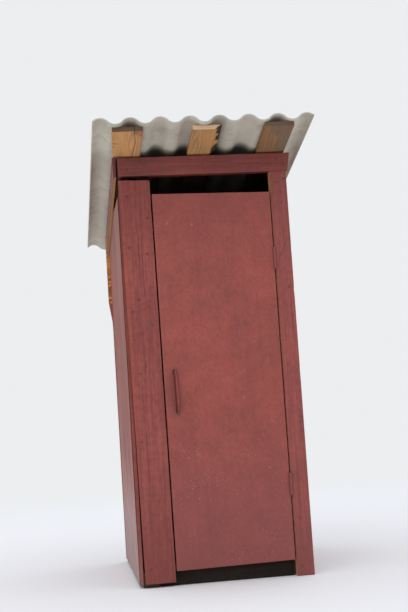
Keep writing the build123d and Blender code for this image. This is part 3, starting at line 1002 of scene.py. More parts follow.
def islands(mesh: Solid) -> list[set[bmesh.types.BMVert]]:
    """Split a mesh into the sets of vertices that hang together, in the order of their first vertices."""
    mesh.verts.index_update()
    left = set(mesh.verts)
    found = []
    for first in mesh.verts:
        if first not in left:
            continue
        left.discard(first)
        group, edge = set(), [first]
        while edge:
            vert = edge.pop()
            group.add(vert)
            for link in vert.link_edges:
                other = link.other_vert(vert)
                if other in left:
                    left.discard(other)
                    edge.append(other)
        found.append(group)
    return found


def lifted(plain: Solid, group: set[bmesh.types.BMVert]) -> Solid:
    """Copy one island out of a mesh."""
    solid = bmesh.new()
    copies = {vert: solid.verts.new(vert.co) for vert in sorted(group, key=lambda v: v.index)}
    for face in plain.faces:
        if face.verts[0] in group:
            solid.faces.new([copies[vert] for vert in face.verts])
    return solid


# Timber

class Run(Enum):
    """Direction that a timber's fibres run in, and the two directions square to it."""

    ACROSS = (X, Z, Y)
    UPRIGHT = (Z, X, Y)
    LEVEL = (Y, Z, X)
    PITCHED = (ROOF_ALONG, X, ROOF_NORMAL)


class Side(Enum):
    """Outward side of a timber."""

    FRONT = (0, -1, 0)
    BACK = (0, 1, 0)
    LEFT = (-1, 0, 0)
    RIGHT = (1, 0, 0)
    TOP = (0, 0, 1)
    UNDER = (0, 0, -1)

    def vector(self) -> Vector:
        """Return the side's direction."""
        return Vector(self.value)

    def spot(self, level: float, beside: float, height: float) -> Vector:
        """Return a point on this upright side from its plane, its place sideways and its height."""
        return Vector((beside, level, height) if self in (Side.FRONT, Side.BACK) else (level, beside, height))


@dataclass(frozen=True)
class Crack:
    """A line along the grain: points of (along, across, half width in millimetres)."""

    points: tuple[tuple[float, float, float], ...]

    def measure(self, held: np.ndarray) -> tuple[np.ndarray, np.ndarray, np.ndarray]:
        """Measure board places against the line.

        Args:
            held: N places: along, across and through.

        Returns:
            The distance beyond the line's ends, the signed distance to the line and the half width.
        """
        along, across, _ = held.T
        ways, sides, widths = (np.array(column) for column in zip(*sorted(self.points)))
        beyond = np.maximum(np.maximum(ways[0] - along, along - ways[-1]), 0.0)
        offset = across - np.interp(along, ways, sides)
        return beyond, offset, np.where(beyond > 0, 0.0, np.interp(along, ways, widths) * MM)


@dataclass(frozen=True)
class Nailing:
    """Where a timber is nailed: single spots, or pairs across every board at some heights."""

    side: Side
    spots: Spots = ()
    levels: tuple[float, ...] = ()
    head_inset: float = 0.0
    spread: float = 0.27
    play: float = 6 * MM
    upright_play: float = 1.5
    foot_margin: float = 10 * MM
    head_margin: float = 30 * MM

    def places(self, solid: Solid, dice: random.Random) -> list[Vector]:
        """Return the nails of one board, as points on its nailed side."""
        corners = [vert.co for vert in solid.verts]
        outward = self.side.vector()
        axis = 1 if self.side in (Side.LEFT, Side.RIGHT) else 0
        level = max(corner.dot(outward) for corner in corners) * (outward.x + outward.y)
        low, high = min(c[axis] for c in corners), max(c[axis] for c in corners)
        foot, head = min(c.z for c in corners), max(c.z for c in corners)
        found = [self.side.spot(level, *spot) for spot in self.spots if low < spot[0] < high]
        lowest, highest = foot + self.foot_margin, head - self.head_margin
        heights = [height for height in self.levels if lowest < height < highest]
        if self.head_inset:
            heights.append(head - self.head_inset)
        for height in heights:
            for way in (-1, 1):
                beside = (low + high) / 2 + way * self.spread * (high - low) + dice.uniform(-1, 1) * self.play
                raised = dice.uniform(-1, 1) * self.play * self.upright_play
                found.append(self.side.spot(level, beside, height + raised))
        return found


class Board:
    """One solid of a timber, and what is known of it before it is worked."""

    # How far past a face's corners its plane still counts as near, and how straight it has to look a way.
    PAST_CORNERS = 60 * MM
    FACING = 0.7

    def __init__(self, solid: Solid, run: Run, nails: list[Vector], seed: float) -> None:
        """Measure the plain board.

        Args:
            solid: The board, in the building's frame.
            run: The direction of its fibres.
            nails: Points where it is nailed.
            seed: The board's own number.
        """
        self.solid, self.nails, self.seed = solid, nails, seed
        self.arrises = np.array([places(edge.verts) for edge in solid.edges])
        solid.normal_update()
        self.faces = [(np.array(face.normal), places(face.verts)) for face in solid.faces]
        along, *square = run.value
        # Across is the wider of the two directions square to the fibres.
        self.axes = (along, *sorted(square, key=self.span, reverse=True))
        held = np.array([self.held(vert) for vert in solid.verts])
        self.low, self.high = held.min(0), held.max(0)

    def span(self, axis: Vector) -> float:
        """Return the board's size in a direction."""
        reach = [vert.co.dot(axis) for vert in self.solid.verts]
        return max(reach) - min(reach)

    def held(self, vert: bmesh.types.BMVert) -> list[float]:
        """Return a vertex's place along, across and through the board."""
        return [vert.co.dot(axis) for axis in self.axes]

    def margin(self, points: np.ndarray) -> np.ndarray:
        """Return the distance of each point to the nearest arris."""
        start, run = self.arrises[:, 0], self.arrises[:, 1] - self.arrises[:, 0]
        gap = points[:, None, :] - start[None]
        share = (gap * run).sum(-1) / np.maximum((run * run).sum(-1), 1e-12)
        foot = start + np.clip(share, 0, 1)[..., None] * run
        return np.linalg.norm(points[:, None, :] - foot, axis=-1).min(1)

    def nail_gap(self, points: np.ndarray) -> np.ndarray:
        """Return the distance of each point to the nearest nail."""
        gaps = [np.linalg.norm(points - np.array(spot), axis=1) for spot in self.nails]
        return np.min([np.full(len(points), FAR), *gaps], axis=0)

    def depth(self, points: np.ndarray, ways: list[Vector]) -> np.ndarray:
        """Return the distance of each point from the nearest plain face that looks one of some ways."""
        best = np.full(len(points), FAR)
        for normal, corners in self.faces:
            if any(normal @ np.array(way) > self.FACING for way in ways):
                low, high = corners.min(0) - self.PAST_CORNERS, corners.max(0) + self.PAST_CORNERS
                within = ((points >= low) & (points <= high)).all(1)
                best = np.where(within, np.minimum(best, np.abs((points - corners[0]) @ normal)), best)
        return best

    def lines(self, cracks: tuple[Crack, ...], held: np.ndarray) -> np.ndarray:
        """Return the signed distance to the crack that is nearest along the board, and its half width."""
        nearest, found = np.full(len(held), np.inf), columns(np.full(len(held), FAR), 0.0)
        for crack in cracks:
            beyond, offset, width = crack.measure(held)
            found = np.where((beyond < nearest)[:, None], columns(offset, width), found)
            nearest = np.minimum(beyond, nearest)
        return found


@dataclass
class Timber:
    """One node of boards or posts, worked from its plain solids into planed and weathered timber."""

    node: str
    finish: Finish
    run: Run
    painted: tuple[Side, ...] = ()
    body: str = BUILDING
    arris: float = 1.8 * MM
    step: float = 60 * MM
    rows: float = 28 * MM
    uneven: float = 0.5 * MM
    dents: float = 1.2 * MM
    tone: float = 0.0
    cracks: tuple[Crack, ...] = ()
    scratches: tuple[Crack, ...] = ()
    chance_cracks: int = 2
    nailing: Nailing | None = None

    # Reach and depth of a nail's pit, how far off faces are cut for it, and at how many millimetres.
    PIT_REACH = 7 * MM
    PIT_DEPTH = 0.7 * MM
    PIT_AREA = 50 * MM
    PIT_LINES = (-12, -6, -3, 3, 6, 12)
    # Waves and dents for each metre along and across, and how far dents reach, in widths of the arris.
    WAVES = (4.0, 16.0)
    DENTS = (14.0, 9.0)
    DENT_REACH = 1.5
    DENT_LEVEL = 0.15
    DENT_GAIN = 1.6

    def build(self, nodes: dict[str, Piece]) -> tuple[Piece, list[Vector]]:
        """Work the node's solids and put the result in the node's place.

        Args:
            nodes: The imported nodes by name.

        Returns:
            The new piece and the points where it is nailed.
        """
        plain = solid_of(nodes[self.node], 0.01 * MM, 1.0)
        whole = bmesh.new()
        stored: list[dict[str, np.ndarray]] = []
        nailed: list[Vector] = []
        for index, group in enumerate(islands(plain)):
            dice = random.Random(f"{self.node} {index}")
            solid = lifted(plain, group)
            nails = self.nailing.places(solid, dice) if self.nailing else []
            nailed += nails
            stored.append(self.worked(Board(solid, self.run, nails, dice.random()), dice))
            scratch = meshed(solid, "scratch")
            whole.from_mesh(scratch)
            bpy.data.meshes.remove(scratch)
        plain.free()
        mesh = meshed(whole, f"{self.node}_worked")
        for name in stored[0]:
            store(mesh, name, np.concatenate([values[name] for values in stored]))
        return weigh_normals(finished(mesh, self.finish, self.body, self.node)), nailed

    def worked(self, board: Board, dice: random.Random) -> dict[str, np.ndarray]:
        """Work one board and measure what its finish needs.

        Args:
            board: The plain board, changed in place.
            dice: The board's own random source.

        Returns:
            A vector for each of the board's points, by attribute name.
        """
        toned = self.tone + dice.uniform(-1, 1)
        cracks = self.cracks + self.chance(board, dice)
        self.cut(board)
        self.refine(board)
        bark = self.work(board)
        points = places(board.solid.verts)
        held = points @ np.array([tuple(axis) for axis in board.axes]).T
        end = board.depth(points, [board.axes[0], -board.axes[0]])
        return {
            "place": held - (board.low + board.high) / 2,
            "edges": columns(board.margin(points), end, self.bare_depth(board, points)),
            "board": columns(board.seed, toned, bark),
            "checks": columns(*board.lines(cracks, held).T, board.nail_gap(points)),
            "scratches": columns(*board.lines(self.scratches, held).T, 0.0),
        }

    def chance(self, board: Board, dice: random.Random) -> tuple[Crack, ...]:
        """Return a board's own few drying cracks, one after another along it."""
        made = []
        low = board.low[0]
        length, broad, _ = board.high - board.low
        for index in range(self.chance_cracks):
            start = low + length * (index + dice.uniform(0.05, 0.35)) / self.chance_cracks
            end = min(start + dice.uniform(0.12, 0.45), low + length * (index + 0.92) / self.chance_cracks)
            side = (board.low[1] + board.high[1]) / 2 + dice.uniform(-0.36, 0.36) * broad
            width = dice.uniform(0.25, 0.6)
            if end > start + 50 * MM:
                widest = start + 0.3 * (end - start)
                made.append(Crack(((start, side, 0.0), (widest, side, width), (end, side + 4 * MM, 0.0))))
        return tuple(made)

    def cut(self, board: Board) -> None:
        """Round the arrises, then cut the solid crosswise and lengthwise into small faces."""
        rounded(board.solid, board.solid.edges[:], self.arris)
        steps = (self.step, self.rows, self.rows)
        for axis, start, end, step in zip(board.axes, board.low, board.high, steps):
            count = max(int(round((end - start) / step)), 1)
            for index in range(1, count):
                sliced(board.solid, axis * (start + (end - start) * index / count), axis)

    def refine(self, board: Board) -> None:
        """Cut small faces round each nail, so that it gets its own pit."""
        for spot in board.nails:
            outward = self.nailing.side.vector()
            near = [face for face in board.solid.faces if face.normal.dot(outward) > 0.9
                    and (face.calc_center_median() - spot).length < self.PIT_AREA]
            corners = dict.fromkeys(vert for face in near for vert in face.verts)
            sides = dict.fromkeys(edge for face in near for edge in face.edges)
            geometry = [*corners, *sides, *near]
            for axis in (Vector((outward.y, outward.x, 0)), Z):
                for shift in self.PIT_LINES:
                    geometry = sliced(board.solid, spot + axis * shift * MM, axis, geometry)

    def work(self, board: Board) -> np.ndarray:
        """Plane the faces slightly uneven, dent the arrises and press the nails in, always inwards.

        Args:
            board: The board, cut into small faces.

        Returns:
            How much bark each point shows.
        """
        board.solid.normal_update()
        points = places(board.solid.verts)
        pressed = np.clip(1.0 - board.nail_gap(points) / self.PIT_REACH, 0.0, 1.0)
        moves = []
        for vert, margin, push in zip(board.solid.verts, board.margin(points), pressed):
            x, y, z = Vector(board.held(vert))
            along, aside = self.WAVES
            wave = noise.noise(Vector((x * along + board.seed * 31, y * aside, z * aside + board.seed * 7)))
            sink = self.uneven * (0.5 + 0.5 * wave) + push * self.PIT_DEPTH
            along, aside = self.DENTS
            dent = noise.noise(Vector((x * along + board.seed * 53, y * aside, z * aside)))
            if margin < self.arris * self.DENT_REACH:
                sink += self.dents * max(dent - self.DENT_LEVEL, 0.0) * self.DENT_GAIN
            moves.append(-vert.normal * sink)
        for vert, move in zip(board.solid.verts, moves):
            vert.co += move
        return np.zeros(len(points))

    def bare_depth(self, board: Board, points: np.ndarray) -> np.ndarray:
        """Return the distance of each point from the nearest painted face."""
        return board.depth(points, [side.vector() for side in self.painted])


@dataclass
class BackBoards(Timber):
    """Back wall, whose first board stands out past the side wall high up, bare, and draws in low down."""

    corner: float = -0.4495
    painted_up_to: float = 1.54
    swell: float = 1.4 * MM
    narrow: float = 0.16
    # A little more than the paint's reach round an arris, so that it ends there as a smear.
    smeared: float = 10.1 * MM

    def cut(self, board: Board) -> None:
        """Let the damp board swell until it meets the next one, then cut it up as any board."""
        across = board.axes[1]
        middle, half = (board.low[1] + board.high[1]) / 2, (board.high[1] - board.low[1]) / 2
        for vert in board.solid.verts:
            vert.co += across * (self.swell * (vert.co.dot(across) - middle) / half)
        super().cut(board)
        heights = (self.painted_up_to - 100 * MM, self.painted_up_to + 30 * MM)
        for vert in board.solid.verts:
            if vert.co.x < self.corner:
                share = float(np.interp(vert.co.z, heights, (self.narrow, 1.0)))
                vert.co.x = self.corner + (vert.co.x - self.corner) * share

    def bare_depth(self, board: Board, points: np.ndarray) -> np.ndarray:
        """Count the inner side of the outstanding strip as painted low down and smeared above."""
        depth = super().bare_depth(board, points)
        low = points[:, 2] < self.painted_up_to
        strip = np.where(low, 0.0, np.minimum(depth, self.smeared))
        return np.where(points[:, 0] < self.corner, strip, depth)


@dataclass
class WaneyBoard(Timber):
    """Board whose arris on one side is drawn in along the underside, with bark on it where it has some."""

    way: int = 1
    retreat: Spots = ((0.0, 0.035), (0.06, 0.028), (0.118, 0.016), (0.133, 0.009), (0.150, 0.012),
                      (0.19, 0.025), (0.27, 0.026), (0.6, 0.018), (1.1, 0.027), (1.6, 0.020))
    fade: float = 60 * MM
    chips: float = 7 * MM
    barked: float = 32 * MM
    through_all: float = 0.0

    def work(self, board: Board) -> np.ndarray:
        """Work the board, then draw the arris of the underside in and tell where bark is left on it."""
        super().work(board)
        low, high = board.low, board.high
        ways, ins = zip(*self.retreat)
        side = high[1] if self.way > 0 else low[1]
        bark = []
        for vert in board.solid.verts:
            along, across, through = board.held(vert)
            deep = min(max((high[2] - through) / (high[2] - low[2]), 0.0), 1.0)
            inwards = abs(side - across)
            close = max(1.0 - inwards / self.fade, 0.0)
            chip = self.chips * noise.noise(Vector((along * 42.0, through * 60.0, 1.7)))
            draw = float(np.interp(along - low[0], ways, ins)) + chip
            draw *= self.through_all + (1 - self.through_all) * deep ** 0.8
            vert.co -= board.axes[1] * (self.way * max(draw, 0.0) * close)
            patch = 0.9 + 0.9 * noise.noise(Vector((along * 22.0, 0.0, 5.3)))
            bark.append(max(1.0 - inwards / self.barked, 0.0) * patch if self.barked else 0.0)
        return np.array(bark)


# Fittings

@dataclass
class Fitting:
    """Iron node with its sharp edges eased."""

    node: str
    body: str
    finish: Finish
    ease: float = 0.35 * MM
    rubbed_below: float = 0.0
    rub: float = 0.22

    EASED_FROM = math.radians(40)

    def build(self, nodes: dict[str, Piece]) -> Piece:
        """Copy the node, ease its edges and put the copy in the node's place.

        Args:
            nodes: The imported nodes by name.

        Returns:
            The new piece.
        """
        shape = solid_of(nodes[self.node], 0.005 * MM, 0.5)
        shape.normal_update()
        shut = [edge for edge in shape.edges if len(edge.link_faces) == 2]
        rounded(shape, [edge for edge in shut if edge.calc_face_angle(0.0) > self.EASED_FROM], self.ease)
        rubbed = np.array([vert.co.y > FRONT - self.rubbed_below for vert in shape.verts])
        mesh = meshed(shape, f"{self.node}_worked")
        store(mesh, "rub", columns(rubbed * self.rub, 0.0, 0.0))
        return crease(finished(mesh, self.finish, self.body, self.node), 38)


@dataclass
class TurnedHeads:
    """Small round heads of nails, screws or roof caps, all of one kind in one piece."""

    name: str
    finish: Finish
    # Radii and heights in millimetres, from the middle of the face to the back.
    profile: Spots
    body: str = BUILDING
    steps: int = 10
    slot_width: float = 0.0
    slot_depth: float = 0.0

    # Angle that a head may lean by, and where its slot is cut, in widths of the slot from its middle.
    LEAN = 0.07
    SLOT_CUTS = (-0.5, -0.45, 0.45, 0.5)
    SLOT_SUNK = 0.47

    def head(self) -> Solid:
        """Turn one head about its axis, with its face towards +Z, and saw its slot."""
        head = bmesh.new()
        ring = [head.verts.new((radius * MM, 0.0, height * MM)) for radius, height in self.profile]
        rim = [head.edges.new(pair) for pair in zip(ring, ring[1:])]
        bmesh.ops.spin(head, geom=ring + rim, cent=(0, 0, 0), axis=Z, angle=math.tau, steps=self.steps,
                       use_merge=True)
        bmesh.ops.remove_doubles(head, verts=head.verts, dist=0.01 * MM)
        if self.slot_width:
            for side in self.SLOT_CUTS:
                sliced(head, X * (side * self.slot_width), X, slack=1e-7)
            for vert in head.verts:
                if abs(vert.co.x) < self.slot_width * self.SLOT_SUNK and vert.co.z > 0:
                    vert.co.z -= self.slot_depth
        bmesh.ops.recalc_face_normals(head, faces=head.faces)
        return head

    def build(self, spots: list[tuple[Vector, Vector]]) -> Piece:
        """Set a head at each spot.

        Args:
            spots: Points and the outward directions there.

        Returns:
            One piece with all the heads.
        """
        dice = random.Random(self.name)
        single = meshed(self.head(), "single_head")
        whole = bmesh.new()
        for point, outward in spots:
            before = len(whole.verts)
            whole.from_mesh(single)
            whole.verts.ensure_lookup_table()
            lean = Matrix.Rotation(dice.uniform(-self.LEAN, self.LEAN), 4, "X")
            lean = lean @ Matrix.Rotation(dice.uniform(0, math.tau), 4, "Z")
            turn = outward.to_track_quat("Z", "Y").to_matrix().to_4x4()
            moved = Matrix.Translation(point) @ turn @ lean
            bmesh.ops.transform(whole, matrix=moved, verts=whole.verts[before:])
        bpy.data.meshes.remove(single)
        return crease(finished(meshed(whole, self.name), self.finish, self.body), 50)


# Roof sheet

@dataclass
class RoofSheet:
    """Corrugated fibre-cement sheet with ragged ends and the nails that hold it.

    It starts at the front, on the roof boards' underside where that is seated on the lintel's back arris.
    """

    front: float
    top: float
    length: float = 1.750
    overhang: float = 0.300
    shift: float = -8 * MM
    thickness: float = 5.8 * MM
    height: float = 40 * MM
    pitch: float = 0.150
    waves: int = 8
    seat: float = 0.3 * MM
    board_thickness: float = 25 * MM
    wave_steps: int = 20
    length_steps: int = 70
    ragged: float = 3.5 * MM

    # Where the sheet is nailed: on crests over the roof boards, at the lintel, midway and at the back beam.
    NAILED_ACROSS = (-0.375, 0.075, 0.375)
    NAILED_DEEP = (0.025, 0.565, 1.095)

    def middle(self, across: float) -> float:
        """Return the height of the sheet's middle line above its own middle, made of arcs."""
        rise = (self.height - self.thickness) / 2
        half = self.pitch / 4
        radius = (half ** 2 + rise ** 2) / (2 * rise)
        phase = across / (2 * half) + 0.5
        side = 1 if math.floor(phase) % 2 == (self.waves - 1) % 2 else -1
        offset = (phase - math.floor(phase) - 0.5) * 2 * half
        return side * (rise - radius + math.sqrt(radius ** 2 - offset ** 2))

    def to_roof(self) -> Matrix:
        """Return the matrix from the sheet's own frame (across, along, off the roof) to the building's."""
        seat = (self.board_thickness + self.seat + self.height / 2) * ROOF_NORMAL
        origin = Vector((self.shift, self.front, self.top)) + seat
        origin -= ROOF_ALONG * (self.overhang / math.cos(ROOF_PITCH))
        return Matrix.Translation(origin) @ Matrix((X, ROOF_ALONG, ROOF_NORMAL)).transposed().to_4x4()

    def build(self) -> Piece:
        """Build the sheet as a fine grid with the real thickness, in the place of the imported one."""
        width = self.pitch * (2 * self.waves - 1) / 2
        sheet = bmesh.new()
        steps = self.wave_steps * self.waves
        bmesh.ops.create_grid(sheet, x_segments=steps, y_segments=self.length_steps, size=0.5)
        for vert in sheet.verts:
            across = vert.co.x * width
            vert.co = Vector((across, (vert.co.y + 0.5) * self.length, self.middle(across)))
        sheet.normal_update()
        for vert in sheet.verts:
            vert.co += vert.normal * self.thickness / 2
        skin = len(sheet.verts)
        bmesh.ops.solidify(sheet, geom=sheet.faces[:], thickness=self.thickness)
        sheet.verts.ensure_lookup_table()
        for vert in sheet.verts:
            self.break_ends(vert)
        across, along, _ = places(sheet.verts).T
        edge = np.minimum(along, self.length - along)
        bmesh.ops.transform(sheet, matrix=self.to_roof(), verts=sheet.verts)
        mesh = meshed(sheet, "roof_sheet_worked")
        store(mesh, "place", columns(across, along, np.arange(len(along)) < skin))
        store(mesh, "edges", columns(edge, edge, edge))
        return weigh_normals(finished(mesh, CEMENT, BUILDING, "roof_sheet"))

    def break_ends(self, vert: bmesh.types.BMVert) -> None:
        """Nibble the sheet's ends inwards."""
        across, along = vert.co.x, vert.co.y
        for edge, way in ((0.0, 1.0), (self.length, -1.0)):
            if abs(along - edge) < 1 * MM:
                bite = noise.noise(Vector((across * 60.0, edge, 3.0))) * 0.5 + 0.5
                fine = noise.noise(Vector((across * 260.0, edge, 9.0))) * 0.5 + 0.5
                vert.co.y += way * self.ragged * (0.55 * bite * bite + 0.45 * fine * fine)

    def cap_spots(self) -> list[tuple[Vector, Vector]]:
        """Return the points where the sheet is nailed, and the outward direction there."""
        seat = self.to_roof()
        spots = []
        for across in self.NAILED_ACROSS:
            for depth in self.NAILED_DEEP:
                along = (self.overhang + depth) / math.cos(ROOF_PITCH)
                crest = Vector((across, along, self.middle(across) + self.thickness / 2))
                spots.append((seat @ crest, ROOF_NORMAL))
        return spots


# Studio

@dataclass
class Studio:
    """Pale floor, even sky light, one soft lamp and the camera."""

    focal_pixels: float = 1105.8
    picture_height: int = 612
    sensor: float = 36.0
    position: tuple[float, float, float] = (-0.8048, FRONT - 5.668, 0.875)
    yaw: float = math.radians(7.74)
    pitch: float = math.radians(5.38)
    roll: float = math.radians(-3.72)
    sky: Colour = (0.97, 0.99, 1.03)
    horizon: float = 0.47
    zenith_rise: float = 0.95
    backdrop: Colour = (0.84, 0.855, 0.87)
    ground: Colour = (0.80, 0.805, 0.82)
    floor_radius: float = 60.0
    fade_start: float = 2.6
    fade_end: float = 7.5
    lamp_place: tuple[float, float, float] = (-2.6, -5.2, 4.4)
    lamp_aim: tuple[float, float, float] = (0.0, 0.0, 1.1)
    lamp_size: float = 4.0
    lamp_watts: float = 50.0
    lamp_colour: Colour = (1.0, 0.97, 0.93)

    def camera(self) -> None:
        """Set up the camera where the photograph was taken from."""
        forward = math.cos(self.pitch)
        ahead = Vector((math.sin(self.yaw) * forward, math.cos(self.yaw) * forward, math.sin(self.pitch)))
        level = Vector((math.cos(self.yaw), -math.sin(self.yaw), 0.0))
        upright = level.cross(ahead)
        right = level * math.cos(self.roll) + upright * math.sin(self.roll)
        up = upright * math.cos(self.roll) - level * math.sin(self.roll)
        data = bpy.data.cameras.new("camera")
        data.sensor_width = self.sensor
        data.lens = self.focal_pixels / self.picture_height * self.sensor
        camera = linked("camera", data)
        turn = Matrix((right, up, -ahead)).transposed()
        camera.matrix_world = Matrix.Translation(self.position) @ turn.to_4x4()
        bpy.context.scene.camera = camera

    def world(self) -> None:
        """Light the yard as an overcast sky does, with a plain pale one for the eye and for reflections."""
        world = bpy.data.worlds.new("sky")
        bpy.context.scene.world = world
        world.use_nodes = True
        graph = Graph(world.node_tree)
        rays = graph.node("ShaderNodeLightPath").outputs
        kinds = ("Camera", "Glossy", "Transmission")
        eye, glossy, clear = (Wire(graph, rays[f"Is {kind} Ray"]) for kind in kinds)
        height = graph.split(graph.here())[2] | 0.0
        overcast = graph.lit(self.sky, height * self.zenith_rise + self.horizon)
        colour = graph.mix(eye | (glossy | clear), overcast, self.backdrop)
        background = graph.node("ShaderNodeBackground", colour, 1.0)
        graph.node("ShaderNodeOutputWorld", background.outputs[0])

    def floor(self) -> None:
        """Lay a pale round floor that fades into the backdrop far off."""
        disc = bmesh.new()
        bmesh.ops.create_circle(disc, cap_ends=True, cap_tris=True, segments=96, radius=self.floor_radius)
        floor = linked("floor", meshed(disc, "floor"))
        material = bpy.data.materials.new("pale_floor")
        material.use_nodes = True
        graph = Graph(material.node_tree)
        far = graph.vector("LENGTH", graph.here()).ramp(self.fade_start, self.fade_end)
        near = graph.node("ShaderNodeBsdfDiffuse", self.ground)
        glow = graph.node("ShaderNodeEmission", self.backdrop)
        mixed = graph.node("ShaderNodeMixShader", far, near.outputs[0], glow.outputs[0])
        graph.node("ShaderNodeOutputMaterial", mixed.outputs[0])
        floor.data.materials.append(material)

    def lamp(self) -> None:
        """Hang one broad soft lamp ahead of the building, to the left."""
        data = bpy.data.lights.new("soft_lamp", "AREA")
        data.shape = "DISK"
        data.size = self.lamp_size
        data.energy = self.lamp_watts
        data.color = self.lamp_colour
        place = Vector(self.lamp_place)
        turn = (Vector(self.lamp_aim) - place).to_track_quat("-Z", "Y").to_matrix()
        linked("soft_lamp", data).matrix_world = Matrix.Translation(place) @ turn.to_4x4()

    def build(self) -> None:
        """Set the whole studio up and keep colours as they are written."""
        self.camera()
        self.world()
        self.floor()
        self.lamp()
        bpy.context.scene.view_settings.view_transform = "Standard"


# Building

# Nails of the front by X and Z, of the left wall by Y and Z.
FRONT_NAILS = Nailing(Side.FRONT, (
    (-0.401, 2.004), (-0.298, 1.889), (-0.406, 1.736), (-0.315, 1.700), (-0.371, 1.463), (-0.405, 1.402),
    (-0.403, 1.257), (-0.306, 1.329), (-0.383, 1.081), (-0.398, 0.736), (-0.330, 0.430), (-0.388, 0.095),
    (-0.315, 0.088)))
JAMB_NAILS = Nailing(Side.FRONT, (
    (0.392, 2.052), (0.432, 2.070), (0.424, 1.492), (0.388, 1.085), (0.430, 0.812), (0.396, 0.296),
    (0.428, 0.062), (0.388, 0.050)))
LINTEL_NAILS = Nailing(Side.FRONT, (
    (-0.415, 2.178), (-0.392, 2.146), (0.402, 2.182), (0.436, 2.150), (0.010, 2.169)))
LEFT_NAILS = Nailing(Side.LEFT, ((0.293, 1.647), (0.532, 1.565), (0.095, 1.381)), levels=(0.045, 1.0),
                     head_inset=0.019)
RIGHT_NAILS = Nailing(Side.RIGHT, levels=(0.045, 1.0), head_inset=0.045)
BACK_NAILS = Nailing(Side.BACK, levels=(0.045, 1.0), head_inset=0.040)
NAIL_SUNK = 0.75 * MM

FRONT_CRACKS = (
    Crack(((1.880, -0.347, 0.0), (1.738, -0.3545, 0.9), (1.603, -0.359, 0.6), (1.520, -0.360, 0.0))),
    Crack(((1.160, -0.3545, 0.0), (1.116, -0.355, 0.9), (1.060, -0.356, 0.0))),
    Crack(((0.820, -0.372, 0.0), (0.700, -0.371, 0.6), (0.440, -0.366, 0.0))),
)
FRONT_GRAIN = Crack(((1.900, -0.334, 0.0), (1.830, -0.339, 0.4), (1.310, -0.3395, 0.3), (1.180, -0.338, 0.0)))
JAMB_SCRATCH = Crack(((1.741, 0.429, 0.8), (1.700, 0.4075, 1.4), (1.657, 0.385, 0.5)))
# Place along the roof's fall of the left roof board's front end.
LIP = Vector((0, -0.8279, 2.2795)).dot(ROOF_ALONG)
LEFT_ROOF_CRACK = Crack(((LIP, -0.363, 1.3), (LIP + 0.060, -0.3625, 0.9), (LIP + 0.133, -0.350, 0.8),
                         (LIP + 0.200, -0.357, 0.6), (LIP + 0.275, -0.360, 0.5), (LIP + 0.60, -0.358, 0.0)))

# Timbers with nothing of their own: finish, run, arris in millimetres, body and nodes.
PLAIN_TIMBERS = (
    (DAMP_SHADED_PINE, Run.ACROSS, 3.0, BUILDING, ("front_sill",)),
    (DAMP_SHADED_PINE, Run.LEVEL, 3.0, BUILDING, ("left_sill", "right_sill")),
    (DAMP_SHADED_PINE, Run.ACROSS, 3.0, BUILDING, ("back_sill",)),
    (FRAME_PINE, Run.ACROSS, 3.0, BUILDING, ("back_girt",)),
    (HEAD_PINE, Run.ACROSS, 3.0, BUILDING, ("back_beam",)),
    (FRAME_PINE, Run.LEVEL, 2.5, BUILDING, ("left_girt", "right_girt")),
    (HEAD_PINE, Run.UPRIGHT, 2.5, BUILDING, ("left_front_post", "left_door_post")),
    (FRAME_PINE, Run.UPRIGHT, 2.5, BUILDING, ("left_back_post", "right_back_post")),
    (FRAME_PINE, Run.UPRIGHT, 1.8, DOOR, ("door_stile_left", "door_stile_right")),
    (FRAME_PINE, Run.ACROSS, 1.8, DOOR, ("door_rail_bottom", "door_rail_middle", "door_rail_top")),
)


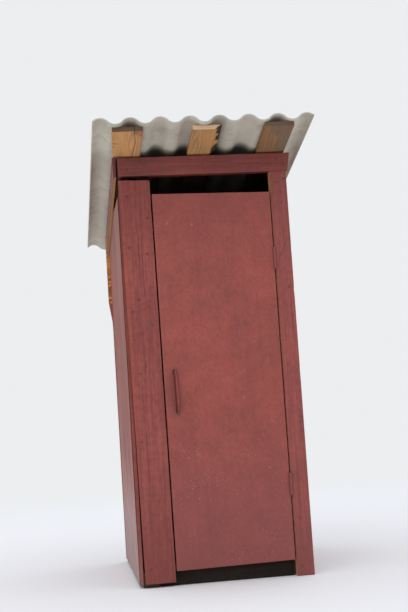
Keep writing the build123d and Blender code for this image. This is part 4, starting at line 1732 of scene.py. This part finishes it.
def timbers() -> list[Timber]:
    """List every timber node with its finish and the direction of its fibres."""
    front, back, left, right, top, under = Side
    wall = dict(finish=WALL_PAINT, run=Run.UPRIGHT)
    roof = dict(run=Run.PITCHED, step=16 * MM, rows=12 * MM, arris=1.4 * MM)
    return [
        Timber("front_board", BOARD_PAINT, Run.UPRIGHT, (front, left, right, top), step=30 * MM, rows=14 * MM,
               dents=2.2 * MM, cracks=FRONT_CRACKS, scratches=(FRONT_GRAIN,), chance_cracks=0,
               nailing=FRONT_NAILS),
        Timber("right_jamb", JAMB_PAINT, Run.UPRIGHT, (front, right), step=30 * MM, rows=12 * MM,
               dents=2.2 * MM, scratches=(JAMB_SCRATCH,), nailing=JAMB_NAILS),
        Timber("lintel", RAIL_PAINT, Run.ACROSS, (front, left, right, under), step=25 * MM, rows=12 * MM,
               dents=2.4 * MM, chance_cracks=3, nailing=LINTEL_NAILS),
        Timber("left_eaves_rail", RAIL_PAINT, Run.PITCHED, (left, front), rows=9 * MM),
        Timber("right_eaves_rail", RAIL_PAINT, Run.PITCHED, (right, under)),
        Timber("left_wall_boards", painted=(left, front), rows=26 * MM, nailing=LEFT_NAILS, **wall),
        Timber("right_wall_boards", painted=(right, front), rows=26 * MM, nailing=RIGHT_NAILS, **wall),
        BackBoards("back_wall_boards", painted=(back, right), rows=10 * MM, nailing=BACK_NAILS, **wall),
        Timber("left_top_plank", FRESH_PINE, Run.PITCHED),
        Timber("right_top_plank", HEAD_PINE, Run.PITCHED),
        Timber("floor_boards", FRAME_PINE, Run.ACROSS),
        WaneyBoard("roof_board_left", LEFT_ROOF_PINE, cracks=(LEFT_ROOF_CRACK,), chance_cracks=0, tone=1.6,
                   way=-1, retreat=((0.0, 0.0), (0.06, 0.001), (0.27, 0.014), (0.36, 0.024), (1.9, 0.024)),
                   chips=1.5 * MM, barked=0.0, fade=90 * MM, through_all=0.85, **roof),
        WaneyBoard("roof_board_middle", MIDDLE_ROOF_PINE, **roof),
        Timber("roof_board_right", BROWN_PINE, **roof),
        *(Timber(node, finish, run, body=body, arris=arris * MM)
          for finish, run, arris, body, nodes in PLAIN_TIMBERS for node in nodes),
        Timber("door_sheet", DOOR_PAINT, Run.UPRIGHT, (front, left, right, top, under), DOOR, arris=0.8 * MM,
               step=40 * MM, rows=40 * MM, dents=0.8 * MM, chance_cracks=0),
    ]


def fittings() -> list[Fitting]:
    """List the iron nodes."""
    made = [Fitting("pull_handle", DOOR, HANDLE_IRON, rubbed_below=2.7 * MM, rub=0.34)]
    for place in ("lower", "upper"):
        for part, body, finish in (("jamb", BUILDING, PAINTED_IRON), ("door", DOOR, PAINTED_IRON),
                                   ("pin", BUILDING, BARE_IRON)):
            made.append(Fitting(f"{place}_hinge_{part}", body, finish))
    return made


NAIL_HEADS = TurnedHeads("wall_nails", NAIL_IRON, (
    (0.0, 0.35), (1.7, 0.25), (2.6, -0.05), (2.8, -0.5), (1.2, -1.2), (1.2, -6.0), (0.0, -6.0)))
HANDLE_SCREWS = TurnedHeads("handle_screws", PAINTED_IRON, (
    (0.0, 1.5), (1.6, 1.25), (2.8, 0.5), (3.1, 0.0), (3.1, -0.4), (0.0, -0.4)),
    DOOR, steps=20, slot_width=1.0 * MM, slot_depth=0.7 * MM)
ROOF_CAPS = TurnedHeads("roof_caps", CAP_IRON, (
    (0.0, 5.0), (3.4, 4.6), (4.2, 3.6), (4.4, 2.7), (9.0, 2.0), (13.0, 0.4), (14.0, -0.6), (13.0, -1.2),
    (0.0, -1.2)), steps=24)
# X and Z of the handle's screws, which stand on its feet.
SCREW_SPOTS = ((-0.2090, 1.0985), (-0.2030, 0.8635))
HANDLE_FOOT = 2.5 * MM


def main() -> None:
    """Dress the building piece by piece, then set up the studio."""
    logging.basicConfig(level=logging.INFO, format="%(message)s")
    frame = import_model()
    nodes = frame["nodes"]
    pieces: list[Piece] = []
    nails: list[tuple[Vector, Vector]] = []
    for timber in timbers():
        piece, spots = timber.build(nodes)
        pieces.append(piece)
        if timber.nailing:
            outward = timber.nailing.side.vector()
            nails += [(spot - outward * NAIL_SUNK, outward) for spot in spots]
    low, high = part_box("lintel")
    roof = RoofSheet(low.y, high.z + (high.y - low.y) * math.tan(ROOF_PITCH))
    screws = [(Vector((x, FRONT - HANDLE_FOOT, z)), Side.FRONT.vector()) for x, z in SCREW_SPOTS]
    pieces.append(roof.build())
    pieces += [fitting.build(nodes) for fitting in fittings()]
    pieces += [NAIL_HEADS.build(nails), ROOF_CAPS.build(roof.cap_spots()), HANDLE_SCREWS.build(screws)]
    for piece in pieces:
        LOG.info("%s: %d faces", piece.name, len(piece.data.polygons))
    Studio().build()


if __name__ == "__main__":
    main()
